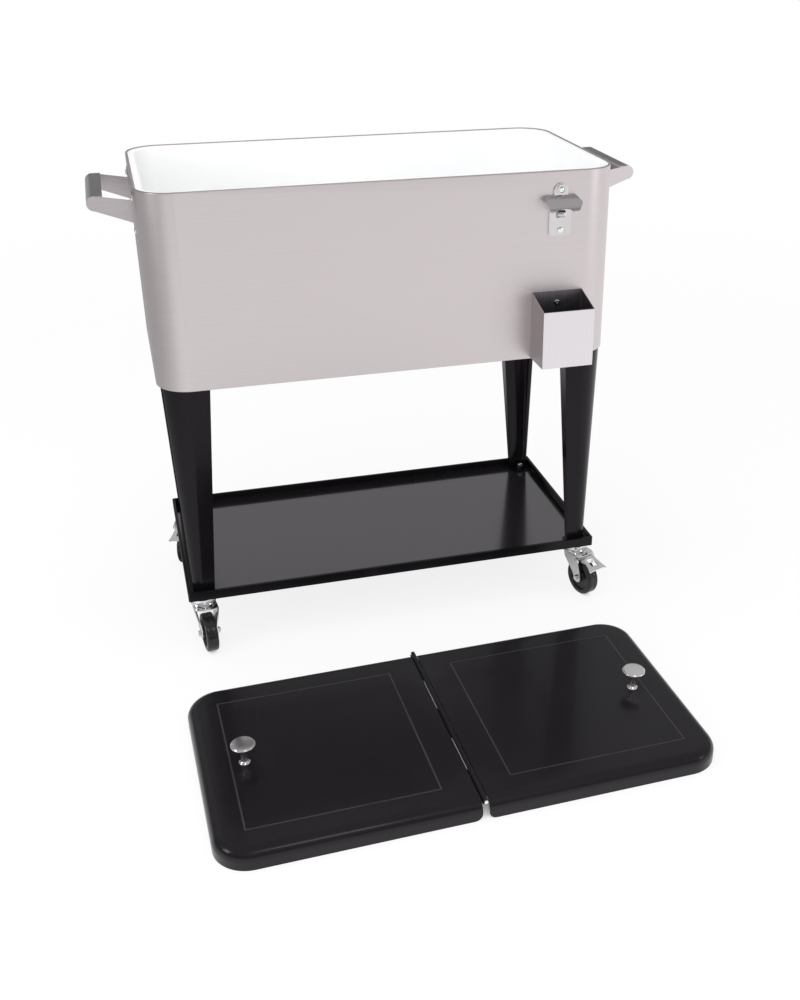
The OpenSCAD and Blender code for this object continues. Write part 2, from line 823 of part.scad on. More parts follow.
// Moulded wheel: hub, thin web and a broad tread with rounded edges
module wheel(k) {
    half = wheel_width / 2;
    rim_r = wheel_r - rim_band;
    color(black) at_caster(k) translate([caster_trail, 0, wheel_r]) rotate([90, 0, 0]) rotate_extrude() {
        translate([axle_r + run_fit, -hub_half]) square([hub_r - axle_r - run_fit, 2 * hub_half]);
        translate([hub_r - cut, -web_half]) square([rim_r - hub_r + 2 * cut, 2 * web_half]);
        translate([rim_r, -half]) square([rim_band - tread_round, wheel_width]);
        translate([rim_r, tread_round - half]) square([rim_band, wheel_width - 2 * tread_round]);
        for (s = [-1, 1]) translate([wheel_r - tread_round, s * (half - tread_round)]) circle(tread_round);
    }
}

module wheel_fl() {
    wheel(0);
}

module wheel_fr() {
    wheel(1);
}

module wheel_bl() {
    wheel(2);
}

module wheel_br() {
    wheel(3);
}

// Brakes

// Rivet that carries the brake lever in the fork
module brake_pin(k) {
    color(bright) at_caster(k) translate([lever_u, 0, lever_z]) rotate([90, 0, 0]) {
        cylinder(h = 2 * rivet_half + cut, r = lever_pin_r, center = true);
        for (s = [-1, 1]) translate([0, 0, s * (rivet_half + lever_pin_head / 2)])
            cylinder(h = lever_pin_head, r = lever_pin_head_r, center = true);
    }
}

module brake_pin_fr() {
    brake_pin(1);
}

module brake_pin_bl() {
    brake_pin(2);
}

// Stamped lever: two ears on the rivet, a sloping pedal and a shoe over the tread
module brake(k) {
    web = lever_half - lever_sheet / 2;
    deck = lever_eye_r - lever_sheet;
    color(bright) at_caster(k) translate([lever_u, 0, lever_z]) difference() {
        union() {
            intersection() {
                along_y(2 * pedal_half) polygon([[3, deck], [3, lever_eye_r], [9, lever_eye_r], [26, -2], [41, -8.2],
                    [pedal_reach, -9.2], [41, -10.4], [25.4, -3.9], [8.6, deck]]);
                translate([0, 0, -pedal_half]) linear_extrude(2 * pedal_half)
                    polygon([[3, -lever_half], [16, -lever_half], [30, -16], [pedal_reach, -pedal_half],
                        [pedal_reach - 2, -12], [pedal_reach - 2, 12], [pedal_reach, pedal_half], [30, 16],
                        [16, lever_half], [3, lever_half]]);
            }
            for (s = [-1, 1]) translate([0, s * web, 0]) along_y(lever_sheet) {
                circle(lever_eye_r);
                polygon([[0, -lever_eye_r], [0, lever_eye_r], [9, lever_eye_r], [20, 0], [20, -3], [10, -4]]);
            }
            along_y(2 * shoe_half) polygon([[shoe_near, deck], [shoe_near, -12], [shoe_far, -12], [shoe_far, 0]]);
        }
        translate([pedal_window[0], -pedal_window[2], -lever_z])
            cube([pedal_window[1] - pedal_window[0], 2 * pedal_window[2], 2 * lever_z]);
        rotate([90, 0, 0]) cylinder(h = 3 * lever_half, r = lever_pin_r + run_fit, center = true);
        translate([caster_trail - lever_u, 0, wheel_r - lever_z]) rotate([90, 0, 0])
            cylinder(h = 3 * lever_half, r = wheel_r + shoe_clear, center = true);
    }
}

module brake_fr() {
    brake(1);
}

module brake_bl() {
    brake(2);
}

// Handles

// Sheet handle of the right end: screw flanges, two arms and a grip rolled over at its edges
module handle_shape() {
    t = handle_sheet;
    difference() {
        union() {
            for (s = [-1, 1]) {
                translate([0, s * (handle_y - t / 2), 0]) along_y(t) {
                    polygon([[tub_x, arm_root_low], [tub_x, arm_root_high], [grip_x, grip_z + grip_r],
                        [grip_x, grip_z - grip_r]]);
                    translate([grip_x, grip_z]) circle(grip_r);
                }
                translate([tub_x, s * (handle_y - t + flange_out / 2), (flange_low + flange_high) / 2])
                    rotate([0, 90, 0]) linear_extrude(t)
                        round_outline(flange_high - flange_low, flange_out, flange_round);
            }
            along_y(handle_span - t) {
                translate([grip_x, grip_z]) {
                    quarter_ring(grip_r, t);
                    mirror([0, 1]) quarter_ring(grip_r, t);
                    translate([-grip_lip, grip_r - t]) square([grip_lip, t]);
                    translate([-grip_lip, grip_r - 2 * t]) square([grip_hem, t]);
                    translate([-grip_lower_lip, -grip_r]) square([grip_lower_lip, t]);
                    translate([-grip_lower_lip, t - grip_r]) square([grip_hem, t]);
                }
            }
        }
        at_handle_screws() cylinder(h = 4 * t, r = screw_r + bolt_fit, center = true);
    }
}

module handle_left() {
    color(bright) at_cart() mirror([1, 0, 0]) handle_shape();
}

module handle_right() {
    color(bright) at_cart() handle_shape();
}

// Eight screws through the handle flanges
module handle_screws() {
    color(bright) at_cart() at_handle_screws() translate([0, 0, handle_sheet])
        wall_screw(screw_deep + handle_sheet);
}

// Opener and catcher

// Cast bottle opener: screw plate, hood with flared tips and a tooth under it
module opener() {
    color(cast) at_cart() at_front(opener_x, opener_z) difference() {
        union() {
            linear_extrude(plate_thick) {
                translate([-plate_half, plate_round - plate_drop])
                    square([2 * plate_half, plate_rise + plate_drop - plate_round]);
                translate([plate_round - plate_half, -plate_drop]) square([2 * (plate_half - plate_round), plate_round]);
                for (s = [-1, 1]) translate([s * (plate_half - plate_round), plate_round - plate_drop])
                    circle(plate_round);
                translate([-tab_r, 0]) square([2 * tab_r, tab_z]);
                translate([0, tab_z]) circle(tab_r);
            }
            translate([0, opener_pitch, 0]) cylinder(h = boss_out, r = opener_boss_r);
            difference() {
                hood(hood_r, 0);
                hood(hood_r - hood_wall, hood_wall);
            }
            translate([0, hood_z, 0]) along_x(2 * tooth_half) polygon([[plate_thick - cut, -12], [9, -7],
                [8, -1], [plate_thick - cut, 1]]);
        }
        for (y = [0, opener_pitch]) translate([0, y, -cut]) cylinder(h = boss_out + 2 * cut, r = screw_r + bolt_fit);
        translate([0, opener_pitch, boss_out - recess_deep]) cylinder(h = boss_out, r = screw_head_r + seat);
    }
}

// Solid form of the opener's hood: a quarter cylinder cut to its front outline
module hood(radius, inset) {
    mouth = inset > 0 ? cut : 0;
    intersection() {
        translate([0, hood_z, 0]) rotate([0, 90, 0]) cylinder(h = 2 * hood_tip_half, r = radius, center = true);
        linear_extrude(hood_r) polygon([[inset - hood_top_half, hood_z + hood_r - inset],
            [hood_top_half - inset, hood_z + hood_r - inset], [hood_tip_half - inset, hood_z + 17],
            [hood_tip_half - inset, hood_z + 14], [hood_mouth_half + 4 - inset, hood_z + 4],
            [hood_mouth_half - inset, hood_z - mouth], [inset - hood_mouth_half, hood_z - mouth],
            [inset - hood_mouth_half - 4, hood_z + 4], [inset - hood_tip_half, hood_z + 14],
            [inset - hood_tip_half, hood_z + 17]]);
    }
}

// Two screws of the opener, the upper one sunk in its boss
module opener_screws() {
    color(bright) at_cart() {
        at_front(opener_x, opener_z) translate([0, 0, plate_thick]) wall_screw(screw_deep + plate_thick);
        at_front(opener_x, opener_z + opener_pitch) translate([0, 0, boss_out - recess_deep])
            wall_screw(screw_deep + boss_out - recess_deep);
    }
}

// Folded sheet box under the opener, open on top, with a hemmed front edge
module catcher() {
    t = catcher_sheet;
    color(steel) at_cart() at_front(opener_x, catcher_low) difference() {
        union() {
            difference() {
                along_x(catcher_width) polygon([[0, 0], [catcher_depth, 0], [catcher_depth, catcher_front],
                    [0, catcher_back]]);
                along_x(catcher_width - 2 * t) polygon([[t, t], [catcher_depth - t, t],
                    [catcher_depth - t, catcher_back + cut], [t, catcher_back + cut]]);
            }
            translate([t - catcher_width / 2, catcher_front - catcher_hem, catcher_depth - 2 * t])
                cube([catcher_width - 2 * t, catcher_hem, t]);
        }
        for (z = catcher_screws_z) translate([0, z, -cut]) cylinder(h = 3 * t, r = screw_r + bolt_fit);
    }
}

// Two screws through the catcher's back
module catcher_screws() {
    color(bright) at_cart() for (z = catcher_screws_z)
        at_front(opener_x, catcher_low + z) translate([0, 0, catcher_sheet]) wall_screw(screw_deep + catcher_sheet);
}

// Lid

// Puts a shape drawn for the right lid half on the lid that lies on the floor
module at_lid(side) {
    translate([-lid_left, cart_back - lid_away, 0]) rotate([0, 0, lid_turn])
        mirror([side < 0 ? 1 : 0, 0, 0]) children();
}

// Section across a lid half's edge from the corner's centre outwards: skirt and soft shoulder
module edge_profile(inset, low) {
    mid = lid_height - lid_shoulder;
    flat = lid_corner - lid_shoulder;
    translate([0, low]) square([lid_corner - inset, mid - low]);
    translate([0, mid]) square([flat, lid_shoulder - inset]);
    translate([flat, mid]) intersection() {
        circle(lid_shoulder - inset);
        square(lid_shoulder);
    }
}

// One lid half's solid form above a level, drawn in from its outer face
module half_form(inset, low) {
    near = half_gap + inset;
    hx = lid_x - lid_corner;
    hy = lid_y - lid_corner;
    translate([near, 0, 0]) rotate([90, 0, 90]) linear_extrude(hx - near) {
        for (m = [0, 1]) mirror([m, 0]) translate([hy, 0]) edge_profile(inset, low);
        translate([-hy, low]) square([2 * hy, lid_height - inset - low]);
    }
    translate([hx, 0, 0]) along_y(2 * hy) edge_profile(inset, low);
    for (s = [-1, 1]) translate([hx, s * hy, 0]) rotate([0, 0, s > 0 ? 0 : 270])
        rotate_extrude(angle = 90) edge_profile(inset, low);
}

// Pressed lid half: soft shoulder, skirts on three sides, a short flange at the hinge
// and a sunk line that frames its flat panel
module lid_skin() {
    panel_long = lid_x - panel_in - panel_from;
    panel_deep = lid_depth - 2 * panel_in;
    difference() {
        half_form(0, 0);
        half_form(lid_sheet, -cut);
        translate([0, lid_sheet - lid_y, -cut])
            cube([half_gap + lid_sheet + cut, lid_depth - 2 * lid_sheet, pan_level + cut]);
        translate([half_gap, 0, 0]) along_y(lid_depth + 2 * cut) difference() {
            translate([-cut, -cut]) square(skirt_round + cut);
            translate([skirt_round, skirt_round]) circle(skirt_round);
        }
        translate([panel_from, -panel_deep / 2, lid_height - groove_deep]) difference() {
            cube([panel_long, panel_deep, lid_height]);
            translate([groove_width, groove_width, -cut])
                cube([panel_long - 2 * groove_width, panel_deep - 2 * groove_width, lid_height + 2 * cut]);
        }
        translate([knob_x, knob_y, pan_level]) cylinder(h = lid_height, r = knob_screw_r + bolt_fit);
    }
}

// Flat slab of one lid half between two levels, in from the lid's outer face
module half_slab(inset, low, high) {
    near = half_gap + inset;
    hx = lid_x - lid_corner;
    hy = lid_y - lid_corner;
    translate([0, 0, low]) linear_extrude(high - low) {
        translate([near, inset - lid_y]) square([hx - near, lid_depth - 2 * inset]);
        translate([near, -hy]) square([lid_x - inset - near, 2 * hy]);
        for (s = [-1, 1]) translate([hx, s * hy]) circle(lid_corner - inset);
    }
}

// White pan under a lid half, with its edge turned up inside the skin
module lid_pan() {
    pan_top = pan_level + pan_sheet;
    difference() {
        union() {
            half_slab(pan_inset, pan_level, pan_top);
            half_slab(pan_wall, pan_level, pan_level + pan_edge);
        }
        half_slab(pan_wall + pan_sheet, pan_top, pan_level + pan_edge + cut);
        translate([knob_x, knob_y, 0]) cylinder(h = lid_height, r = knob_screw_r + bolt_fit);
    }
}

// Foam between a lid half's pan and skin
module lid_foam() {
    pan_top = pan_level + pan_sheet;
    split = pan_level + pan_edge + pack_fit;
    difference() {
        half_form(pan_inset, 0);
        translate([0, -lid_y, -cut]) cube([lid_x, lid_depth, pan_top + cut]);
        difference() {
            translate([0, -lid_y, pan_level]) cube([lid_x, lid_depth, split - pan_level]);
            half_slab(pan_wall + pan_sheet + pack_fit, 0, lid_height);
        }
        translate([knob_x, knob_y, 0]) cylinder(h = lid_height, r = knob_screw_r + seat);
    }
}

// Hinge leaf with the barrel's knuckles: those of one half sit between those of the other
module hinge_leaf(first) {
    difference() {
        union() {
            translate([half_gap - leaf_sheet, -leaf_half, lid_height - leaf_drop])
                cube([leaf_sheet, 2 * leaf_half, leaf_drop - knuckle_r + leaf_sheet]);
            for (k = [first:2:knuckles - 1]) translate([0, (k + 0.5) * knuckle_pitch - barrel_half, lid_height]) {
                rotate([90, 0, 0]) cylinder(h = knuckle_pitch - knuckle_gap, r = knuckle_r, center = true);
                translate([0, (knuckle_gap - knuckle_pitch) / 2, -knuckle_r])
                    cube([half_gap, knuckle_pitch - knuckle_gap, leaf_sheet]);
            }
        }
        translate([0, 0, lid_height]) rotate([90, 0, 0])
            cylinder(h = lid_depth + 2 * cut, r = hinge_pin_r + run_fit, center = true);
    }
}

// Waisted knob with a broad flat cap and a blind thread from below
module knob() {
    cap_under = knob_height - knob_disc;
    translate([knob_x, knob_y, lid_height]) rotate_extrude()
        polygon([[knob_screw_r + run_fit, 0], [knob_foot_r, 0], [knob_foot_r, 2], [knob_waist_r + 1, 5],
            [knob_waist_r, 10], [knob_waist_r, cap_under - 10], [knob_waist_r + 1.5, cap_under - 4],
            [knob_foot_r, cap_under - 1], [knob_r - 1.5, cap_under], [knob_r, cap_under + 1.2],
            [knob_r, knob_height - 2], [knob_r - 2, knob_height], [0, knob_height], [0, knob_bore],
            [knob_screw_r + run_fit, knob_bore]]);
}

// Screw up through the pan into the knob
module knob_screw() {
    translate([knob_x, knob_y, pan_level]) {
        cylinder(h = lid_height - pan_level + knob_bore - 2, r = knob_screw_r);
        translate([0, 0, -knob_screw_head]) cylinder(h = knob_screw_head, r = knob_screw_head_r);
    }
}

module lid_skin_left() {
    color(satin) at_lid(-1) lid_skin();
}

module lid_skin_right() {
    color(satin) at_lid(1) lid_skin();
}

module lid_foam_left() {
    color(foam_colour) at_lid(-1) lid_foam();
}

module lid_foam_right() {
    color(foam_colour) at_lid(1) lid_foam();
}

module lid_pan_left() {
    color(white) at_lid(-1) lid_pan();
}

module lid_pan_right() {
    color(white) at_lid(1) lid_pan();
}

module hinge_leaf_left() {
    color(satin) at_lid(-1) hinge_leaf(0);
}

module hinge_leaf_right() {
    color(satin) at_lid(1) hinge_leaf(1);
}

// Pin through all the knuckles, headed at both ends
module hinge_pin() {
    color(bright) at_lid(1) translate([0, 0, lid_height]) rotate([90, 0, 0]) {
        cylinder(h = 2 * barrel_half + cut, r = hinge_pin_r, center = true);
        for (s = [-1, 1]) translate([0, 0, s * (barrel_half + pin_cap / 2)])
            cylinder(h = pin_cap, r = pin_cap_r, center = true);
    }
}

module knob_left() {
    color(bright) at_lid(-1) knob();
}

module knob_right() {
    color(bright) at_lid(1) knob();
}

module knob_screw_left() {
    color(bright) at_lid(-1) knob_screw();
}

module knob_screw_right() {
    color(bright) at_lid(1) knob_screw();
}

tub_shell();
base_panel();
foam_core();
liner();
drain_fitting();
drain_nut();
drain_cap();
leg_fl();
leg_fr();
leg_bl();
leg_br();
leg_bolts();
tray();
handle_left();
handle_right();
handle_screws();
opener();
opener_screws();
catcher();
catcher_screws();
mount_pads();
stem_nuts();
swivel_fl();
swivel_fr();
swivel_bl();
swivel_br();
fork_fl();
fork_fr();
fork_bl();
fork_br();
axle_fl();
axle_fr();
axle_bl();
axle_br();
wheel_fl();
wheel_fr();
wheel_bl();
wheel_br();
brake_pin_fr();
brake_pin_bl();
brake_fr();
brake_bl();
lid_skin_left();
lid_skin_right();
lid_foam_left();
lid_foam_right();
lid_pan_left();
lid_pan_right();
hinge_leaf_left();
hinge_leaf_right();
hinge_pin();
knob_left();
knob_right();
knob_screw_left();
knob_screw_right();
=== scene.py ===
"""Looks for a rolling patio ice chest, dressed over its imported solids.

Metres, with +Z up and the floor at z = 0. The solids give every size and place; each class
below takes one sub-assembly, builds the pieces that show and gives each of them its finish.
"""

from __future__ import annotations

import json
import logging
import math
from dataclasses import dataclass, field
from enum import Enum
from typing import Any, Callable, Sequence

import bmesh
import bpy
from bpy.types import (ID, Material, Mesh, MeshPolygon, Node, NodeOutputs, NodeSocket, NodeTree, Object,
                       World)
from mathutils import Matrix, Vector

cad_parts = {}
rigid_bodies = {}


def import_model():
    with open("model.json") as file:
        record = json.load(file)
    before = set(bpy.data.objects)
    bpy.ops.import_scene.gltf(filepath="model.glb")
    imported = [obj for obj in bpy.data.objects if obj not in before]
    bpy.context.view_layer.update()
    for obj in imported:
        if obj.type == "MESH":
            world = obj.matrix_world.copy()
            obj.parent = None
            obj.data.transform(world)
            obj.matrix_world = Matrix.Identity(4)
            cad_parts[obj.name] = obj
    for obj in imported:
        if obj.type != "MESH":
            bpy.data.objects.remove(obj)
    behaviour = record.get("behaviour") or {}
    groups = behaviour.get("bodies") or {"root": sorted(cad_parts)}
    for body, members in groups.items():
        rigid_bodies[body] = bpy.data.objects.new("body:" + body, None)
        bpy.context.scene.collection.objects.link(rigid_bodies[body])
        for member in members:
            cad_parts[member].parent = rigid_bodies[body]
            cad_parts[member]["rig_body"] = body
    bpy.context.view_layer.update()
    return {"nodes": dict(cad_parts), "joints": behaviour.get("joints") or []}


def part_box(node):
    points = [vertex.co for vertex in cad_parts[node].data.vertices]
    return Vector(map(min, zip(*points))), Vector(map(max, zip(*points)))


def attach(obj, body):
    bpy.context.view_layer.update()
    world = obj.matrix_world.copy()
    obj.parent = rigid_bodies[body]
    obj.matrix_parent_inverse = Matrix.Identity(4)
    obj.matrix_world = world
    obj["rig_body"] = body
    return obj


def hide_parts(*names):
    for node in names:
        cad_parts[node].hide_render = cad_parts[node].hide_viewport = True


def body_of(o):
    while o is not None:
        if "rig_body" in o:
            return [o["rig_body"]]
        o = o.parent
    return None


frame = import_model()
LOG = logging.getLogger("ice_chest")
MM = 0.001
FINE, PLAIN, SOFT = 0.3 * MM, 0.4 * MM, 0.5 * MM  # widths of softened edges
WELD = 2e-6  # vertices nearer than this are one
CREASE = 32.0  # degrees past which an edge stays an edge
UPWARD = 0.9  # a face whose normal has a larger z counts as a top
Colour = tuple[float, float, float]
Point = Sequence[float]
Wire = Node | NodeSocket  # what feeds an input; a node feeds it from its first output
Skin = tuple[Wire, Wire, Wire]


class Grain(Enum):
    """Direction of the brush marks, as noise frequencies along X, Y and Z."""

    LEVEL = (5.0, 5.0, 1500.0)
    UPRIGHT = (1300.0, 1300.0, 5.0)
    CROSSED = (260.0, 260.0, 260.0)


class Corner(Enum):
    """The four corners of the cart, by the ending of their node names."""

    FRONT_LEFT = "fl"
    FRONT_RIGHT = "fr"
    BACK_LEFT = "bl"
    BACK_RIGHT = "br"

    @property
    def braked(self) -> bool:
        """Whether this corner's caster has a brake lever."""
        return self in (Corner.FRONT_RIGHT, Corner.BACK_LEFT)


# Node trees


@dataclass
class Wiring:
    """Adds nodes to one tree and joins them."""

    tree: NodeTree

    @classmethod
    def fresh(cls, owner: Material | World) -> Wiring:
        """Turns on an empty node tree.

        Args:
            owner: The material or world that gets it.

        Returns:
            The tree's wiring.
        """
        owner.use_nodes = True
        owner.node_tree.nodes.clear()
        return cls(owner.node_tree)

    @classmethod
    def group(cls, name: str, kind: str, inputs: dict[str, str], outputs: dict[str, str]) -> tuple[
            Wiring, NodeOutputs]:
        """Starts a node group.

        Args:
            name: The group's name.
            kind: The type of its tree.
            inputs: Input names and their types of socket.
            outputs: Output names and their types of socket.

        Returns:
            The new group's wiring, and the outputs of its input node.
        """
        wires = cls(bpy.data.node_groups.new(name, kind))
        for way, labels in (("INPUT", inputs), ("OUTPUT", outputs)):
            for label, form in labels.items():
                wires.tree.interface.new_socket(name=label, in_out=way, socket_type=f"NodeSocket{form}")
        return wires, wires.add("NodeGroupInput").outputs

    def add(self, kind: str, inputs: dict[str | int, Any] | None = None, **settings: Any) -> Node:
        """Adds a node.

        Args:
            kind: The node's type name.
            inputs: Input socket, by name or index, to its value, to what feeds it or to a list of those.
            settings: Properties set on the node.

        Returns:
            The new node.
        """
        node = self.tree.nodes.new(kind)
        for key, value in settings.items():
            setattr(node, key, value)
        for key, value in (inputs or {}).items():
            for item in value if isinstance(value, list) else [value]:
                source = item.outputs[0] if isinstance(item, Node) else item
                if isinstance(source, NodeSocket):
                    self.tree.links.new(source, node.inputs[key])
                else:
                    node.inputs[key].default_value = source
        return node

    def ramp(self, source: Wire, low: float, high: float, to_low: float = 0.0,
             to_high: float = 1.0) -> Node:
        """Maps a value from the range low to high to another range, clamped."""
        return self.add("ShaderNodeMapRange", {"Value": source, "From Min": low, "From Max": high,
                        "To Min": to_low, "To Max": to_high}, clamp=True)

    def combine(self, operation: str, *values: Wire | float) -> Node:
        """Combines values by one arithmetic operation."""
        return self.add("ShaderNodeMath", dict(enumerate(values)), operation=operation)

    def mix(self, factor: Wire, first: Wire | Colour, second: Wire | Colour) -> NodeSocket:
        """Blends two colours by the second one's share and returns the blend's socket."""
        first, second = ((*c, 1.0) if isinstance(c, tuple) else c for c in (first, second))
        return self.add("ShaderNodeMix", {"Factor": factor, 6: first, 7: second}, data_type="RGBA").outputs[2]


class SurfaceGroups:
    """Shader node groups shared by the finishes.

    STROKES are the scale, detail and roughness of fine and of broad brush marks. MARKED, CLOUDED and
    SPECKED are the ranges of noise that become 0 to 1.
    """

    STROKES = ((2.4, 2.0, 0.6), (0.35, 1.0, 0.5))
    MARKED, CLOUDED, SPECKED = (0.55, 1.1), (0.32, 0.68), (0.10, 0.05)

    def __init__(self) -> None:
        """Builds the three groups once."""
        self.brushing = self._brushing()
        self.drift = self._drift()
        self.peel = self._peel()

    def _brushing(self) -> NodeTree:
        """Long thin marks that run one way, in two widths.

        Returns:
            The group, with the marks as a mask and a height.
        """
        wires, given = Wiring.group("Brush marks", "ShaderNodeTree", {
            "Position": "Vector", "Stretch": "Vector"}, {"Marks": "Float", "Height": "Float"})
        scaled = wires.add("ShaderNodeVectorMath", {0: given["Position"], 1: given["Stretch"]},
                           operation="MULTIPLY")
        fine, broad = (wires.add("ShaderNodeTexNoise", {"Vector": scaled, "Scale": scale, "Detail": detail,
                                                        "Roughness": rough})
                       for scale, detail, rough in self.STROKES)
        marks = wires.ramp(wires.combine("MULTIPLY_ADD", fine, 0.65, broad), *self.MARKED)
        wires.add("NodeGroupOutput", {"Marks": marks, "Height": fine})
        return wires.tree

    def _drift(self) -> NodeTree:
        """Slow cloudy change of a value over the surface.

        Returns:
            The group, with the value from 0 to 1.
        """
        wires, given = Wiring.group("Slow drift", "ShaderNodeTree", {
            "Position": "Vector", "Size": "Float"}, {"Drift": "Float"})
        cloud = wires.add("ShaderNodeTexNoise", {"Vector": given["Position"], "Scale": given["Size"],
                                                 "Detail": 3.0, "Roughness": 0.55})
        wires.add("NodeGroupOutput", {"Drift": wires.ramp(cloud, *self.CLOUDED)})
        return wires.tree

    def _peel(self) -> NodeTree:
        """Fine pebbled skin of a sprayed or moulded surface, with a few specks.

        Returns:
            The group, with the skin's height and the specks as a mask.
        """
        wires, given = Wiring.group("Fine peel", "ShaderNodeTree", {
            "Position": "Vector", "Size": "Float"}, {"Height": "Float", "Specks": "Float"})
        pebble = wires.add("ShaderNodeTexNoise", {"Vector": given["Position"], "Scale": given["Size"],
                                                  "Detail": 2.0, "Roughness": 0.5})
        dots = wires.add("ShaderNodeTexVoronoi", {"Vector": given["Position"], "Scale": 160.0})
        wires.add("NodeGroupOutput", {"Height": pebble, "Specks": wires.ramp(dots, *self.SPECKED)})
        return wires.tree


@dataclass(frozen=True)
class Ground:
    """What a pattern is drawn with: wiring, shared groups, object coordinates and a slow drift."""

    wires: Wiring
    groups: SurfaceGroups
    place: NodeSocket
    drift: Node

    def group(self, tree: NodeTree, **inputs: float | Point) -> Node:
        """Places a shared group in the material, at the surface's own place."""
        return self.wires.add("ShaderNodeGroup", {"Position": self.place, **inputs}, node_tree=tree)


@dataclass(frozen=True)
class Finish:
    """A finish: two close colours that drift into each other, and how they shine."""

    name: str
    dark: Colour
    light: Colour
    smooth: float = 0.3
    rough: float = 0.4
    metallic: float = 0.0
    coat: float = 0.0
    coat_rough: float = 0.05
    specular: float = 0.5
    drift_size: float = 9.0
    relief: float = 0.1
    depth: float = 0.0002
    tint: Colour = (1.0, 1.0, 1.0)
    pebble: float = 900.0

    def build(self, groups: SurfaceGroups) -> Material:
        """Makes the material.

        Args:
            groups: The shared node groups.

        Returns:
            The finished material.
        """
        material = bpy.data.materials.new(self.name)
        wires = Wiring.fresh(material)
        place = wires.add("ShaderNodeTexCoord").outputs["Object"]
        drift = wires.add("ShaderNodeGroup", {"Position": place, "Size": self.drift_size},
                          node_tree=groups.drift)
        tone, gloss, height = self.pattern(Ground(wires, groups, place, drift))
        bump = wires.add("ShaderNodeBump", {"Strength": self.relief, "Distance": self.depth,
                                            "Height": height})
        shader = wires.add("ShaderNodeBsdfPrincipled", {
            "Base Color": tone, "Roughness": gloss, "Metallic": self.metallic, "Coat Weight": self.coat,
            "Coat Roughness": self.coat_rough, "Specular IOR Level": self.specular,
            "Specular Tint": (*self.tint, 1.0), "Normal": bump})
        wires.add("ShaderNodeOutputMaterial", {"Surface": shader})
        return material

    def pattern(self, ground: Ground) -> Skin:
        """Draws a fine pebble and returns what feeds the colour, the roughness and the height."""
        peel = ground.group(ground.groups.peel, Size=self.pebble)
        return (ground.wires.mix(ground.drift, self.dark, self.light),
                ground.wires.ramp(ground.drift, 0.0, 1.0, self.smooth, self.rough), peel.outputs["Height"])


@dataclass(frozen=True)
class Brushed(Finish):
    """Brushed or plated steel, with marks along one direction."""

    metallic: float = 1.0
    grain: Grain = Grain.LEVEL
    cloud: float = 0.45
    spread: tuple[float, float] = (0.2, 1.3)

    def pattern(self, ground: Ground) -> Skin:
        """Draws marks that lighten the colour and roughen the gloss.

        Args:
            ground: What they are drawn with.

        Returns:
            What feeds the colour, the roughness and the height.
        """
        marks = ground.group(ground.groups.brushing, Stretch=self.grain.value).outputs
        blend = ground.wires.combine("MULTIPLY_ADD", ground.drift, self.cloud, marks["Marks"])
        return (ground.wires.mix(marks["Marks"], self.dark, self.light),
                ground.wires.ramp(blend, *self.spread, self.smooth, self.rough), marks["Height"])


@dataclass(frozen=True)
class Turned(Finish):
    """Steel faced on a lathe, with rings round one upright axis."""

    metallic: float = 1.0
    axis: tuple[float, float] = (0.0, 0.0)
    rings: float = 2600.0
    contrast: tuple[float, float] = (0.35, 0.7)

    def pattern(self, ground: Ground) -> Skin:
        """Draws rings that lighten the colour and roughen the gloss.

        Args:
            ground: What they are drawn with.

        Returns:
            What feeds the colour, the roughness and the height.
        """
        wires = ground.wires
        moved = wires.add("ShaderNodeMapping", {"Vector": ground.place, "Scale": (1.0, 1.0, 0.0),
                                                "Location": (-self.axis[0], -self.axis[1], 0.0)})
        reach = wires.add("ShaderNodeVectorMath", {0: moved}, operation="LENGTH").outputs["Value"]
        rings = wires.add("ShaderNodeTexNoise", {"W": reach, "Scale": self.rings, "Detail": 2.0},
                          noise_dimensions="1D")
        marks = wires.ramp(rings, *self.contrast)
        return (wires.mix(marks, self.dark, self.light), wires.ramp(marks, 0.0, 1.0, self.smooth, self.rough),
                rings)


@dataclass(frozen=True)
class Sprayed(Finish):
    """Enamel or powder coat with a fine peel and a few dust specks."""

    pebble: float = 420.0
    speck: Colour = (0.09, 0.09, 0.09)
    speck_share: float = 0.16
    tint: Colour = (1.0, 0.90, 1.0)

    def pattern(self, ground: Ground) -> Skin:
        """Draws a fine peel, with specks over the drifting colour.

        Args:
            ground: What they are drawn with.

        Returns:
            What feeds the colour, the roughness and the height.
        """
        wires = ground.wires
        peel = ground.group(ground.groups.peel, Size=self.pebble).outputs
        specks = wires.ramp(peel["Specks"], 0.0, 1.0, 0.0, self.speck_share)
        tone = wires.mix(specks, wires.mix(ground.drift, self.dark, self.light), self.speck)
        return tone, wires.ramp(ground.drift, 0.0, 1.0, self.smooth, self.rough), peel["Height"]


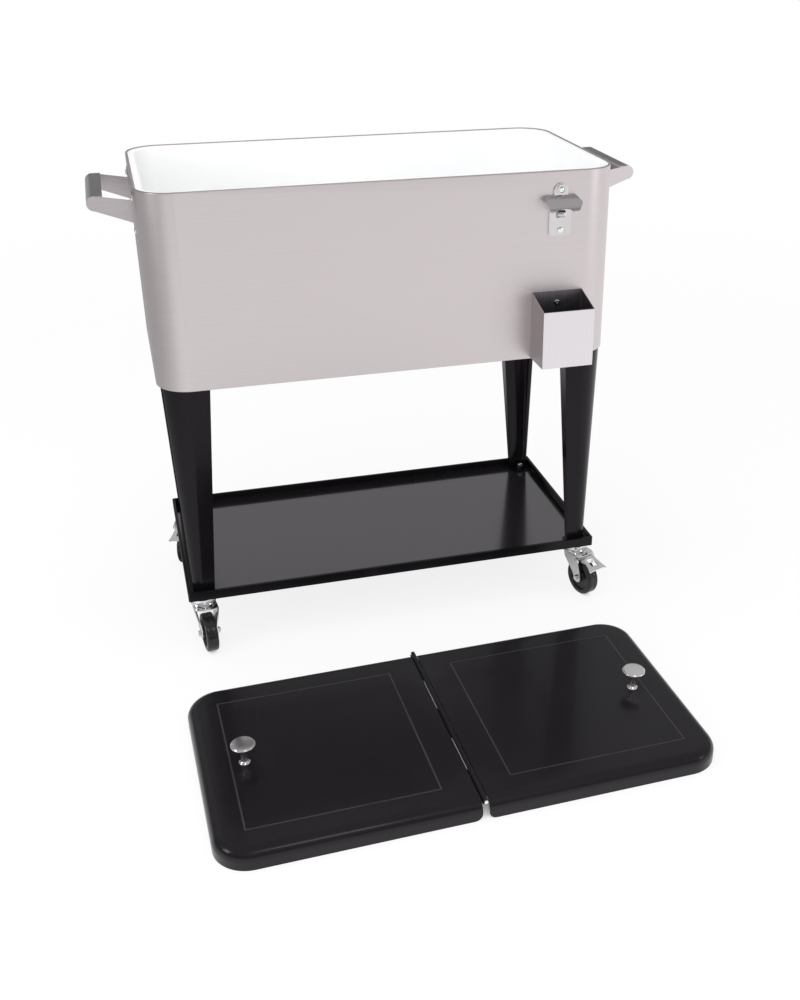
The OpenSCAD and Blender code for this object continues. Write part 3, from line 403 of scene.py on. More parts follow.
class Finishes:
    """Every finish on the chest, built once."""

    def __init__(self) -> None:
        """Builds the groups and the materials."""
        groups = SurfaceGroups()

        def make(finish: Finish) -> Material:
            """Builds a finish's material."""
            return finish.build(groups)

        self.tub_steel = make(Brushed("Tub brushed steel", (0.675, 0.62, 0.63), (0.70, 0.645, 0.655), 0.36,
            0.39, relief=0.012, drift_size=2.2))
        self.sheet_steel = make(Brushed("Sheet brushed steel", (0.56, 0.52, 0.525), (0.62, 0.575, 0.58),
            0.28, 0.34, relief=0.02))
        # Painted light: both handles are one steel, the left copy darker as painted shade and the right copy
        # lighter as painted light.
        self.handle_left = make(Brushed("Left handle steel in painted shade", (0.47, 0.43, 0.44), (0.52, 0.475, 0.485),
            0.26, 0.32, relief=0.02))
        self.handle_right = make(Brushed("Right handle steel in painted light", (0.66, 0.61, 0.625), (0.71, 0.66, 0.675),
            0.26, 0.32, relief=0.02))
        # Painted shade: the upward faces of the grips get the handle steel darkened to stand in for shade.
        self.grip_top = make(Brushed("Grip tops darkened as painted shade", (0.29, 0.275, 0.28), (0.36, 0.34, 0.345),
            0.22, 0.30, relief=0.02))
        self.catcher_steel = make(Brushed("Catcher brushed steel", (0.77, 0.735, 0.76), (0.83, 0.79, 0.82),
            0.28, 0.36, relief=0.03, grain=Grain.UPRIGHT))
        # Painted shade: the catcher's ends, and the insides of the catcher and of the opener's hood, get the
        # steel darkened as painted shade.
        self.catcher_side = make(Brushed("Catcher side steel in painted shade", (0.36, 0.32, 0.32), (0.43, 0.39, 0.39),
            0.30, 0.40, relief=0.03, grain=Grain.UPRIGHT))
        self.catcher_inside = make(Brushed("Catcher inner steel in painted shade", (0.24, 0.225, 0.24), (0.32, 0.30, 0.32),
            0.34, 0.45, relief=0.03, grain=Grain.UPRIGHT))
        self.plated = make(Brushed("Bright plated steel", (0.84, 0.84, 0.85), (0.97, 0.97, 0.975), 0.08,
            0.20, relief=0.05, grain=Grain.CROSSED))
        self.cast = make(Finish("Cast plated metal", (0.64, 0.62, 0.625), (0.70, 0.68, 0.685), 0.16, 0.24,
            1.0, drift_size=25.0, relief=0.08, depth=0.0003))
        self.enamel = make(Sprayed("Gloss black enamel", (0.0040, 0.0036, 0.0042), (0.006, 0.0055, 0.0062),
            0.16, 0.24, specular=0.2, relief=0.03, drift_size=6.0))
        # Painted highlight: the lid's sunk panel line is the black coat made lighter to stand in for the
        # sheen its edges catch.
        self.rubbed = make(Sprayed("Panel line with painted sheen", (0.030, 0.027, 0.032),
            (0.040, 0.036, 0.042), 0.26, 0.34, relief=0.05, drift_size=12.0))
        self.dull = make(Brushed("Dull zinc", (0.10, 0.10, 0.105), (0.17, 0.17, 0.175), 0.28, 0.4,
            relief=0.06, grain=Grain.CROSSED))
        self.tray_enamel = make(Sprayed("Tray black enamel", (0.012, 0.0105, 0.0125),
            (0.015, 0.0135, 0.0155), 0.12, 0.18, coat=0.8, coat_rough=0.12, specular=1.0, relief=0.025,
            drift_size=4.0))
        self.powder = make(Sprayed("Satin black powder coat", (0.0050, 0.0043, 0.0054),
            (0.0066, 0.0058, 0.0071), 0.27, 0.33, coat=0.18, coat_rough=0.10, specular=0.26, relief=0.035,
            pebble=1500.0, drift_size=5.0))
        self.white = make(Finish("White moulded plastic", (0.90, 0.905, 0.91), (0.93, 0.93, 0.93), 0.28,
            0.4, relief=0.04, drift_size=4.0))
        self.fitting = make(Finish("White fitting plastic", (0.80, 0.80, 0.79), (0.86, 0.86, 0.85), 0.35,
            0.5, relief=0.06, drift_size=30.0))
        self.foam = make(Finish("Insulating foam", (0.66, 0.58, 0.36), (0.76, 0.69, 0.47), 0.8, 0.95,
            relief=0.5, depth=0.0006, drift_size=40.0))
        self.rubber = make(Finish("Hard black rubber", (0.006, 0.006, 0.0065), (0.013, 0.013, 0.014), 0.20,
            0.30, drift_size=45.0))
        self.washer = make(Finish("Black fibre washer", (0.012, 0.012, 0.012), (0.02, 0.02, 0.02), 0.5,
            0.65, relief=0.2, drift_size=60.0))
        # Painted light: the two knobs are one turned steel, the left copy darker as painted shade and the
        # right copy lighter as painted light.
        self.knob_left, self.knob_right = (
            make(Turned(f"Turned steel of the {side} knob", (tone, tone - 0.02, tone - 0.005),
                        (tone + 0.1, tone + 0.08, tone + 0.095), 0.20, 0.30, relief=0.06,
                        axis=tuple(centre(f"knob_{side}"))[:2]))
            for side, tone in (("left", 0.70), ("right", 0.88)))


# Meshes


@dataclass
class Workshop:
    """Turns solids and profiles into finished pieces."""

    finishes: Finishes
    pieces: list[str] = field(default_factory=list)
    level: float = 0.4  # degrees under which two faces are one

    def dress(self, node: str, name: str, finish: Material, edge: float = 0.35 * MM,
              sharp: float = CREASE) -> Object:
        """Replaces a solid by its own form with softened edges and smooth curves.

        Args:
            node: The CAD node.
            name: Name of the new piece.
            finish: Its material.
            edge: Width of the soft edge.
            sharp: Angle, in degrees, past which an edge stays an edge.

        Returns:
            The finished piece.
        """
        mesh = frame["nodes"][node].data.copy()
        mesh.name = name
        work = bmesh.new()
        work.from_mesh(mesh)
        bmesh.ops.remove_doubles(work, verts=work.verts, dist=WELD)
        bmesh.ops.dissolve_limit(work, angle_limit=math.radians(self.level), verts=work.verts,
                                 edges=work.edges)
        work.to_mesh(mesh)
        work.free()
        piece = self.link(name, mesh, finish)
        self.smooth(mesh, sharp)
        soften = piece.modifiers.new("Soft edges", "BEVEL")
        soften.width = edge
        soften.segments = 2
        soften.limit_method = "ANGLE"
        soften.angle_limit = math.radians(sharp)
        return self.fit(piece, node)

    def lathe(self, name: str, profile: Sequence[tuple[float, float]], place: Matrix,
              finish: Material, steps: int = 96, sharp: float = 40.0) -> Object:
        """Turns a closed profile, clear of the axis, round it.

        Args:
            name: Name of the new piece.
            profile: Points as (radius, height), in order round the section.
            place: From the lathe's own frame, with its axis on z, to the row frame.
            finish: The piece's material.
            steps: Number of steps round the axis.
            sharp: Angle, in degrees, past which an edge stays an edge.

        Returns:
            The piece, linked but not yet fitted.
        """
        work = bmesh.new()
        rings = []
        for k in range(steps):
            turn = 2.0 * math.pi * k / steps
            rings.append([work.verts.new(place @ Vector((r * math.cos(turn), r * math.sin(turn), z)))
                          for r, z in profile])
        count = len(profile)
        for k in range(steps):
            here, there = rings[k], rings[(k + 1) % steps]
            for i in range(count):
                j = (i + 1) % count
                work.faces.new((here[i], there[i], there[j], here[j]))
        bmesh.ops.recalc_face_normals(work, faces=work.faces)
        mesh = bpy.data.meshes.new(name)
        work.to_mesh(mesh)
        work.free()
        self.smooth(mesh, sharp)
        return self.link(name, mesh, finish)

    @staticmethod
    def smooth(mesh: Mesh, sharp: float) -> None:
        """Shades a mesh smooth apart from edges past an angle in degrees."""
        mesh.polygons.foreach_set("use_smooth", [True] * len(mesh.polygons))
        mesh.set_sharp_from_angle(angle=math.radians(sharp))

    @staticmethod
    def link(name: str, mesh: Mesh, finish: Material) -> Object:
        """Puts a mesh in the scene.

        Args:
            name: The object's name.
            mesh: Its mesh.
            finish: Its one material.

        Returns:
            The new object.
        """
        mesh.materials.clear()
        mesh.materials.append(finish)
        return show(name, mesh)

    def fit(self, piece: Object, node: str) -> Object:
        """Makes a piece ride on the body of the solid that it stands for.

        Args:
            piece: The finished piece.
            node: The CAD node that it replaces.

        Returns:
            The same piece.
        """
        body = body_of(frame["nodes"][node])[0]
        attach(piece, body)
        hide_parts(node)
        self.pieces.append(piece.name)
        LOG.info("piece %s rides on %s", piece.name, body)
        return piece

    @staticmethod
    def repaint(piece: Object, finish: Material, chosen: Callable[[MeshPolygon], bool]) -> None:
        """Gives some faces of a piece a further finish.

        Args:
            piece: The piece.
            finish: The further finish.
            chosen: Tells whether a face gets it.
        """
        piece.data.materials.append(finish)
        for face in piece.data.polygons:
            if chosen(face):
                face.material_index = len(piece.data.materials) - 1

    @staticmethod
    def coat(node: str, finish: Material) -> None:
        """Gives a solid that keeps its own form a finish.

        Args:
            node: The CAD node.
            finish: The material.
        """
        data = frame["nodes"][node].data
        data.materials.clear()
        data.materials.append(finish)
        Workshop.smooth(data, CREASE)


@dataclass
class Fastener:
    """A headed screw or bolt, placed by Geometry Nodes at every solid of one CAD node.

    STEPS are the head's rises as shares of its height, each with the shrink that follows it. INPUTS
    of the node tree bear the names of the fields here.
    """

    shop: Workshop
    head_radius: float
    head_height: float
    shank_radius: float
    sides: int = 28
    crown: float = 0.72
    socket_radius: float = 0.0
    seed: int = 7

    SHARP, SHANK_SIDES, SOCKET_SIDES, SOCKET_LIFT = 34.0, 16, 6, 0.95
    STEPS = ((0.5, None), (0.32, 0.93), (0.18, "Crown"))
    INPUTS = {"Geometry": "Geometry", "Head radius": "Float", "Head height": "Float", "Sides": "Int",
              "Crown": "Float", "Socket radius": "Float", "Shank radius": "Float", "Shank length": "Float",
              "Seed": "Int", "Finish": "Material"}

    def tree(self) -> NodeTree:
        """Builds the node tree, or finds the one already built.

        Returns:
            The tree.
        """
        if "Fasteners" in bpy.data.node_groups:
            return bpy.data.node_groups["Fasteners"]
        wires, given = Wiring.group("Fasteners", "GeometryNodeTree", self.INPUTS, {"Geometry": "Geometry"})
        wires.tree.is_modifier = True
        high = given["Head height"]
        disc = wires.add("GeometryNodeMeshCircle", {"Vertices": given["Sides"],
                                                    "Radius": given["Head radius"]}, fill_type="NGON")
        shape, top = disc, None
        for rise, shrink in self.STEPS:
            inputs = {"Mesh": shape, "Individual": False,
                      "Offset Scale": wires.combine("MULTIPLY", high, rise)}
            if top is not None:
                inputs["Selection"] = top
            shape = wires.add("GeometryNodeExtrudeMesh", inputs, mode="FACES")
            top = shape.outputs["Top"]
            if shrink is not None:
                shape = wires.add("GeometryNodeScaleElements", {
                    "Geometry": shape, "Selection": top,
                    "Scale": given[shrink] if isinstance(shrink, str) else shrink})
        under = wires.add("GeometryNodeFlipFaces", {"Mesh": disc})
        shut = wires.add("GeometryNodeJoinGeometry", {0: [under, shape]})
        head = wires.add("GeometryNodeMergeByDistance", {"Geometry": shut, "Distance": 1e-6})
        rods = []
        for name, sides, length, lift in (("Socket", self.SOCKET_SIDES, high, self.SOCKET_LIFT),
                                          ("Shank", self.SHANK_SIDES, given["Shank length"], -0.5)):
            rod = wires.add("GeometryNodeMeshCylinder", {"Vertices": sides, "Depth": length,
                                                         "Radius": given[f"{name} radius"]})
            rise = wires.add("ShaderNodeCombineXYZ", {"Z": wires.combine("MULTIPLY", length, lift)})
            rods.append(wires.add("GeometryNodeTransform", {"Geometry": rod, "Translation": rise}))
        tool, shank = rods
        sunk = wires.add("GeometryNodeMeshBoolean", {"Mesh 1": head, "Mesh 2": tool},
                         operation="DIFFERENCE", solver="EXACT")
        has = wires.add("FunctionNodeCompare", {0: given["Socket radius"], 1: 1e-5},
                        operation="GREATER_THAN")
        pick = wires.add("GeometryNodeSwitch", {"Switch": has, "False": head, "True": sunk},
                         input_type="GEOMETRY")
        whole = wires.add("GeometryNodeJoinGeometry", {0: [pick, shank]})
        aim = wires.add("GeometryNodeInputNamedAttribute", {"Name": "aim"}, data_type="FLOAT_VECTOR")
        face = wires.add("FunctionNodeAlignRotationToVector", {"Vector": aim}, axis="Z")
        spin = wires.add("FunctionNodeRandomValue", {"Seed": given["Seed"], 2: 0.0, 3: math.tau},
                         data_type="FLOAT")
        twist = wires.add("ShaderNodeCombineXYZ", {"Z": spin.outputs[1]})
        turn = wires.add("FunctionNodeEulerToRotation", {0: twist})
        turned = wires.add("FunctionNodeRotateRotation", {"Rotation": face, "Rotate By": turn},
                           rotation_space="LOCAL")
        placed = wires.add("GeometryNodeInstanceOnPoints", {"Points": given["Geometry"],
                                                            "Instance": whole, "Rotation": turned})
        real = wires.add("GeometryNodeRealizeInstances", {"Geometry": placed})
        coated = wires.add("GeometryNodeSetMaterial", {"Geometry": real, "Material": given["Finish"]})
        wires.add("NodeGroupOutput", {"Geometry": coated})
        return wires.tree

    def build(self, node: str, name: str, aim: Callable[[Vector, Vector], Vector]) -> Object:
        """Places a fastener at each solid of a CAD node and replaces the node.

        Args:
            node: The CAD node of separate screws or bolts.
            name: Name of the new piece.
            aim: Gives the direction that a head faces from its solid's lowest and highest corner.

        Returns:
            The finished piece.
        """
        finish = self.shop.finishes.plated
        boxes = islands(node)
        aims = [aim(low, high).normalized() for low, high in boxes]
        spots, depth = [], 0.0
        for (low, high), way in zip(boxes, aims):
            half = (high - low) / 2.0
            reach = abs(half.dot(Vector([abs(c) for c in way])))
            spots.append((low + high) / 2.0 + way * (reach - self.head_height))
            depth = max(depth, 2.0 * reach - self.head_height)
        base = bpy.data.meshes.new(f"{name}_spots")
        base.from_pydata([tuple(spot) for spot in spots], [], [])
        base.attributes.new("aim", "FLOAT_VECTOR", "POINT").data.foreach_set(
            "vector", [c for way in aims for c in way])
        host = show(f"{name}_spots", base)
        modifier = host.modifiers.new("Fasteners", "NODES")
        tree = modifier.node_group = self.tree()
        values = {**vars(self), "shank_length": depth, "finish": finish}
        for item in tree.interface.items_tree:
            key = item.name.lower().replace(" ", "_")
            if item.in_out == "INPUT" and key in values:
                modifier[item.identifier] = values[key]
        graph = bpy.context.evaluated_depsgraph_get()
        mesh = bpy.data.meshes.new_from_object(host.evaluated_get(graph))
        host.modifiers.remove(modifier)
        bpy.data.objects.remove(host)
        mesh.name = name
        self.shop.smooth(mesh, self.SHARP)
        piece = self.shop.link(name, mesh, finish)
        return self.shop.fit(piece, node)


def show(name: str, data: ID) -> Object:
    """Puts a new object in the scene.

    Args:
        name: Its name.
        data: Its mesh, lamp or camera data.

    Returns:
        The object.
    """
    thing = bpy.data.objects.new(name, data)
    bpy.context.scene.collection.objects.link(thing)
    return thing


def islands(node: str) -> list[tuple[Vector, Vector]]:
    """Boxes of a CAD node's separate solids.

    Args:
        node: The CAD node.

    Returns:
        The lowest and highest corner of each solid.
    """
    work = bmesh.new()
    work.from_mesh(frame["nodes"][node].data)
    bmesh.ops.remove_doubles(work, verts=work.verts, dist=WELD)
    left, boxes = set(work.verts), []
    while left:
        heap, low, high = [left.pop()], Vector((1e9,) * 3), Vector((-1e9,) * 3)
        while heap:
            vert = heap.pop()
            low, high = Vector(map(min, low, vert.co)), Vector(map(max, high, vert.co))
            for edge in vert.link_edges:
                other = edge.other_vert(vert)
                if other in left:
                    left.remove(other)
                    heap.append(other)
        boxes.append((low, high))
    work.free()
    return sorted(boxes, key=lambda pair: tuple(pair[0]))


def joint(name: str) -> dict:
    """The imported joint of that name."""
    return next(j for j in frame["joints"] if j["name"] == name)


def axis_frame(origin: Point, axis: Point) -> Matrix:
    """Matrix to the row frame from one at the origin point whose z runs along the axis."""
    turn = Vector(axis).normalized().to_track_quat("Z", "Y").to_matrix().to_4x4()
    return Matrix.Translation(Vector(origin)) @ turn


def centre(node: str) -> Vector:
    """Middle of a solid's box."""
    low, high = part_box(node)
    return (low + high) / 2.0


def cart_middle() -> Vector:
    """Middle of the cart's footprint, on the floor."""
    return Vector((0.0, centre("tub_shell").y, 0.0))


# Sub-assemblies


@dataclass
class Tub:
    """Steel skin, white basin, floor and foam."""

    shop: Workshop
    sheet_edge: float = FINE
    lip_edge: float = 0.6 * MM

    def build(self) -> None:
        """Builds the tub's pieces."""
        done = self.shop.finishes
        self.shop.dress("tub_shell", "tub_wall", done.tub_steel, self.sheet_edge)
        self.shop.dress("liner", "basin", done.white, self.lip_edge)
        self.shop.dress("base_panel", "tub_floor", done.sheet_steel, self.sheet_edge)
        self.shop.coat("foam_core", done.foam)


@dataclass
class Stand:
    """Four pressed legs and the tray that ties them together."""

    shop: Workshop
    leg_edge: float = 0.45 * MM
    leg_sharp: float = 24.0
    tray_edge: float = 0.6 * MM
    deck_under: float = 4.0 * MM

    def build(self) -> None:
        """Builds the legs, their bolts and the tray."""
        done = self.shop.finishes
        for corner in Corner:
            self.shop.dress(f"leg_{corner.value}", f"pressed_leg_{corner.value}", done.enamel, self.leg_edge,
                            self.leg_sharp)
        tray = self.shop.dress("tray", "lower_tray", done.enamel, self.tray_edge)
        deck_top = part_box("tray")[0].z + self.deck_under
        self.shop.repaint(tray, done.tray_enamel,
                          lambda face: face.normal.z > UPWARD and face.center.z < deck_top)
        bolt = Fastener(self.shop, head_radius=5.8 * MM, head_height=4.0 * MM, shank_radius=3.0 * MM,
                        sides=6, crown=0.9)
        bolt.build("leg_bolts", "leg_bolt_set", lambda low, high: Vector((0.0, 0.0, -1.0)))


@dataclass
class Caster:
    """One swivel caster: fixed race, fork, axle, wheel and, at two corners, a brake.

    HUB has the wheel's radii and half widths in mm; WEB has distances in from the tread instead.
    """

    shop: Workshop
    corner: Corner
    fork_edge: float = 0.45 * MM
    half_width: float = 10.0 * MM
    tread_round: float = 3.2 * MM
    tread_steps: int = 6
    parting: tuple[float, float] = (0.2 * MM, 0.6 * MM)

    HUB = ((3.05, 12.2), (8.4, 12.2), (9.0, 11.6), (9.0, 7.2), (9.8, 6.2), (11.0, 6.0))
    WEB = ((12.5, 6.0), (10.5, 6.6), (9.6, 8.6), (8.8, 10.0), (7.0, 10.0), (6.6, 9.5), (6.0, 9.5),
           (5.6, 10.0))

    def build(self) -> None:
        """Builds the caster's pieces."""
        end, done = self.corner.value, self.shop.finishes
        self.shop.dress(f"swivel_{end}", f"stem_and_race_{end}", done.plated, FINE)
        self.shop.dress(f"fork_{end}", f"pressed_fork_{end}", done.plated, self.fork_edge)
        self.shop.dress(f"axle_{end}", f"axle_bolt_{end}", done.plated)
        self.wheel()
        if self.corner.braked:
            self.shop.dress(f"brake_pin_{end}", f"lever_rivet_{end}", done.plated, FINE)
            self.shop.dress(f"brake_{end}", f"brake_lever_{end}", done.plated, PLAIN)

    def wheel(self) -> None:
        """Turns the wheel with its moulded hub, dished web and parting lines."""
        end = self.corner.value
        spin = joint(f"wheel_{end}_spin")
        low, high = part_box(f"wheel_{end}")
        radius, half = (high.z - low.z) / 2.0, self.half_width
        side = [(r * MM, z * MM) for r, z in self.HUB] + [(radius - r * MM, z * MM) for r, z in self.WEB]
        turn = [(radius - self.tread_round + self.tread_round * math.sin(a),
                 half - self.tread_round + self.tread_round * math.cos(a))
                for a in [math.pi / 2.0 * k / self.tread_steps for k in range(self.tread_steps + 1)]]
        tread = [(radius, self.parting[1]), (radius - self.parting[0], 0.0)]
        right = side + turn + tread
        left = [(r, -z) for r, z in reversed(side + turn + tread[:1])]
        piece = self.shop.lathe(f"moulded_wheel_{end}", right + left, axis_frame(spin["pos_m"], spin["axis"]),
                                self.shop.finishes.rubber)
        self.shop.fit(piece, f"wheel_{end}")


@dataclass
class Handles:
    """The two sheet handles at the ends."""

    shop: Workshop
    edge: float = 0.4 * MM

    def build(self) -> None:
        """Builds both handles, the left in painted shade and the right in painted light, with shaded grip
        tops.
        """
        done = self.shop.finishes
        for side, steel in (("left", done.handle_left), ("right", done.handle_right)):
            piece = self.shop.dress(f"handle_{side}", f"end_handle_{side}", steel, self.edge)
            # The upward faces of each grip get the steel darkened as painted shade.
            self.shop.repaint(piece, done.grip_top, lambda face: face.normal.z > UPWARD)


@dataclass
class BottleSet:
    """Cast opener and the box that catches the caps."""

    shop: Workshop
    cast_edge: float = 0.9 * MM
    sheet_edge: float = 0.35 * MM
    skin: float = 0.7 * MM
    lip_height: float = 40.0 * MM
    arch: tuple[float, float] = (16.5 * MM, 7.0 * MM)
    arch_depth: tuple[float, float] = (12.0 * MM, 27.0 * MM)
    plate: float = 3.1 * MM
    hood: float = 22.6 * MM
    steps: int = 48
    level: float = 0.99
    sideways: float = 0.95

    def build(self) -> None:
        """Builds the opener and the catcher."""
        done = self.shop.finishes
        opener = self.shop.dress("opener", "cast_opener", done.cast, self.cast_edge)
        self.arch_lip(opener)
        self.darken_mouth(opener)
        box = self.shop.dress("catcher", "cap_box", done.catcher_steel, self.sheet_edge)
        self.darken_inside(box)

    def lip(self) -> Vector:
        """Middle of the hood's lip, on the wall behind it."""
        low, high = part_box("opener")
        return Vector(((low.x + high.x) / 2.0, high.y, low.z + self.lip_height))

    def arch_lip(self, opener: Object) -> None:
        """Cuts a flat arch in the lip of the opener's hood, so that its mouth shows.

        Args:
            opener: The dressed opener.
        """
        lip, turns = self.lip(), [2.0 * math.pi * k / self.steps for k in range(self.steps)]
        work = bmesh.new()
        near, far = ([work.verts.new((lip.x + self.arch[0] * math.cos(t), lip.y - depth,
                                      lip.z + self.arch[1] * math.sin(t))) for t in turns]
                     for depth in self.arch_depth)
        work.faces.new(near)
        work.faces.new(far[::-1])
        for k in range(self.steps):
            work.faces.new((near[k], far[k], far[k - 1], near[k - 1]))
        bmesh.ops.recalc_face_normals(work, faces=work.faces)
        mesh = bpy.data.meshes.new("arch")
        work.to_mesh(mesh)
        work.free()
        cutter = self.shop.link("arch", mesh, self.shop.finishes.cast)
        soften = opener.modifiers[0]
        soften.show_viewport = False
        cut = opener.modifiers.new("Arch", "BOOLEAN")
        cut.operation, cut.solver, cut.object = "DIFFERENCE", "EXACT", cutter
        graph = bpy.context.evaluated_depsgraph_get()
        opener.data = bpy.data.meshes.new_from_object(opener.evaluated_get(graph))
        opener.modifiers.remove(cut)
        soften.show_viewport = True
        bpy.data.objects.remove(cutter)
        self.shop.smooth(opener.data, CREASE)

    def darken_mouth(self, opener: Object) -> None:
        """Paints shade on the inner faces of the opener's hood, with the catcher's darkened inner steel.

        Args:
            opener: The dressed opener.
        """
        lip = self.lip()
        inner = lip + Vector((0.0, -self.hood / 2.0, self.hood / 2.0))

        def inside(face: MeshPolygon) -> bool:
            """Whether a face lines the mouth."""
            depth, height = lip.y - face.center.y, face.center.z - lip.z
            return (self.plate < depth < self.hood and -self.skin < height < self.hood
                    and (inner - face.center).dot(face.normal) > 0.0)

        # The faces inside the hood get steel darkened as painted shade.
        self.shop.repaint(opener, self.shop.finishes.catcher_inside, inside)

    def darken_inside(self, box: Object) -> None:
        """Paints shade on the box's inner faces and its ends, as darker copies of its steel.

        Args:
            box: The dressed box.
        """
        low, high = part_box("catcher")
        middle = (low + high) / 2.0

        def inside(face: MeshPolygon) -> bool:
            """Whether a face lines the box."""
            lines = ((middle - face.center).dot(face.normal) > 0.0 if abs(face.normal.z) < self.level
                     else face.normal.z > self.level and face.center.z < low.z + 3.0 * self.skin)
            return lines and all(low[k] + self.skin < face.center[k] < high[k] - self.skin for k in (0, 1))

        self.shop.repaint(box, self.shop.finishes.catcher_inside, inside)
        self.shop.repaint(box, self.shop.finishes.catcher_side,
                          lambda face: not inside(face) and abs(face.normal.x) > self.sideways)


@dataclass
class Drain:
    """Drain pipe, its locknut and its ribbed cap."""

    shop: Workshop

    def build(self) -> None:
        """Builds the drain's pieces."""
        done = self.shop.finishes
        self.shop.dress("drain_fitting", "drain_pipe", done.fitting, PLAIN)
        self.shop.dress("drain_nut", "drain_locknut", done.fitting, SOFT)
        self.shop.dress("drain_cap", "drain_screw_cap", done.fitting, PLAIN)


@dataclass
class Lid:
    """Two pressed halves on a knuckled hinge, each with a knob, a pan and its foam."""

    shop: Workshop
    skin_sharp: float = 24.0
    line_depth: float = 0.56 * MM
    line_shallow: float = 0.1 * MM
    line_in: float = 46.5 * MM
    line_from: float = 51.5 * MM
    margin: float = 1.0 * MM

    def build(self) -> None:
        """Builds both halves, the hinge and the knobs."""
        done = self.shop.finishes
        for side, knob in (("left", done.knob_left), ("right", done.knob_right)):
            skin = self.shop.dress(f"lid_skin_{side}", f"lid_press_{side}", done.powder, SOFT,
                                   self.skin_sharp)
            self.rub_line(skin)
            for node, name, finish, edge in (("lid_pan", "lid_underside", done.white, PLAIN),
                                             ("hinge_leaf", "knuckle_leaf", done.powder, FINE),
                                             ("knob", "waisted_knob", knob, SOFT),
                                             ("knob_screw", "knob_bolt", done.plated, FINE)):
                self.shop.dress(f"{node}_{side}", f"{name}_{side}", finish, edge)
            self.shop.coat(f"lid_foam_{side}", done.foam)
        self.shop.dress("hinge_pin", "hinge_rod", done.plated, PLAIN)

    def rub_line(self, skin: Object) -> None:
        """Paints a highlight on the sunk line that frames the panel on a lid half, as a lighter powder coat.

        Args:
            skin: The dressed half.
        """
        fold = joint("lid_fold")
        along = Vector((fold["axis"][0], fold["axis"][1], 0.0)).normalized()
        across = Vector((along.y, -along.x, 0.0))
        origin = Vector(fold["pos_m"])
        spots = [vert.co for vert in skin.data.vertices]
        top = max(spot.z for spot in spots)
        reach, half = (max(abs((spot - origin).dot(way)) for spot in spots) - self.line_in + self.margin
                       for way in (across, along))

        def sunk(face: MeshPolygon) -> bool:
            """Whether a face belongs to the line."""
            spot = face.center - origin
            return (self.line_from - self.margin < abs(spot.dot(across)) < reach
                    and abs(spot.dot(along)) < half and face.center.z < top - self.line_shallow
                    and all(spots[i].z > top - self.line_depth for i in face.vertices))

        self.shop.repaint(skin, self.shop.finishes.rubbed, sunk)


@dataclass
class Hardware:
    """Small fasteners on the cart."""

    shop: Workshop

    def build(self) -> None:
        """Builds screws, nuts and washers."""
        done = self.shop.finishes
        self.shop.dress("stem_nuts", "caster_nuts", done.dull, PLAIN)
        self.shop.coat("mount_pads", done.washer)
        middle = centre("tub_shell")
        screw = Fastener(self.shop, head_radius=4.6 * MM, head_height=2.4 * MM, shank_radius=2.5 * MM,
                         socket_radius=1.65 * MM)
        screw.build("handle_screws", "handle_screw_set",
                    lambda low, high: Vector((1.0 if low.x > middle.x else -1.0, 0.0, 0.0)))
        for kind in ("opener", "catcher"):
            screw.build(f"{kind}_screws", f"{kind}_screw_set", lambda low, high: Vector((0.0, -1.0, 0.0)))


# Studio


@dataclass
class PhotoCamera:
    """The photograph's viewpoint, measured from the middle of the cart's footprint."""

    away: Point = (-0.41043, -2.00249, 1.18144)
    yaw: float = 0.28726
    pitch: float = 0.47676
    roll: float = 0.00413
    focal_px: float = 1195.5
    middle_px: tuple[float, float] = (466.64, 510.41)
    image_px: tuple[int, int] = (800, 1000)

    def build(self) -> None:
        """Makes the camera and sets it as the scene's."""
        width, height = self.image_px
        ahead = Vector((math.sin(self.yaw) * math.cos(self.pitch), math.cos(self.yaw) * math.cos(self.pitch),
                        -math.sin(self.pitch)))
        level = Vector((math.cos(self.yaw), -math.sin(self.yaw), 0.0))
        upward = level.cross(ahead)
        right = level * math.cos(self.roll) + upward * math.sin(self.roll)
        top = upward * math.cos(self.roll) - level * math.sin(self.roll)
        data = bpy.data.cameras.new("photo_camera")
        data.sensor_width = 36.0
        data.lens = self.focal_px * data.sensor_width / height
        data.shift_x = (width / 2.0 - self.middle_px[0]) / height
        data.shift_y = (self.middle_px[1] - height / 2.0) / height
        data.clip_end = 50.0
        camera = show("photo_camera", data)
        spot = Vector(self.away) + cart_middle()
        camera.matrix_world = Matrix.Translation(spot) @ Matrix((right, top, -ahead)).transposed().to_4x4()
        bpy.context.scene.camera = camera


@dataclass(frozen=True)
class Lamp:
    """A square soft box; its spot and aim are from the middle of the cart, its power in watts.

    Metal and gloss show the box itself only where it is mirrored.
    """

    name: str
    spot: Point
    aim: Point
    size: float
    power: float
    mirrored: bool

    def hang(self) -> None:
        """Hangs the lamp."""
        data = bpy.data.lights.new(self.name, "AREA")
        data.size = self.size
        data.energy = self.power
        lamp = show(self.name, data)
        lamp.location = Vector(self.spot) + cart_middle()
        lamp.rotation_euler = (Vector(self.aim) - Vector(self.spot)).to_track_quat("-Z", "Y").to_euler()
        lamp.visible_glossy = self.mirrored


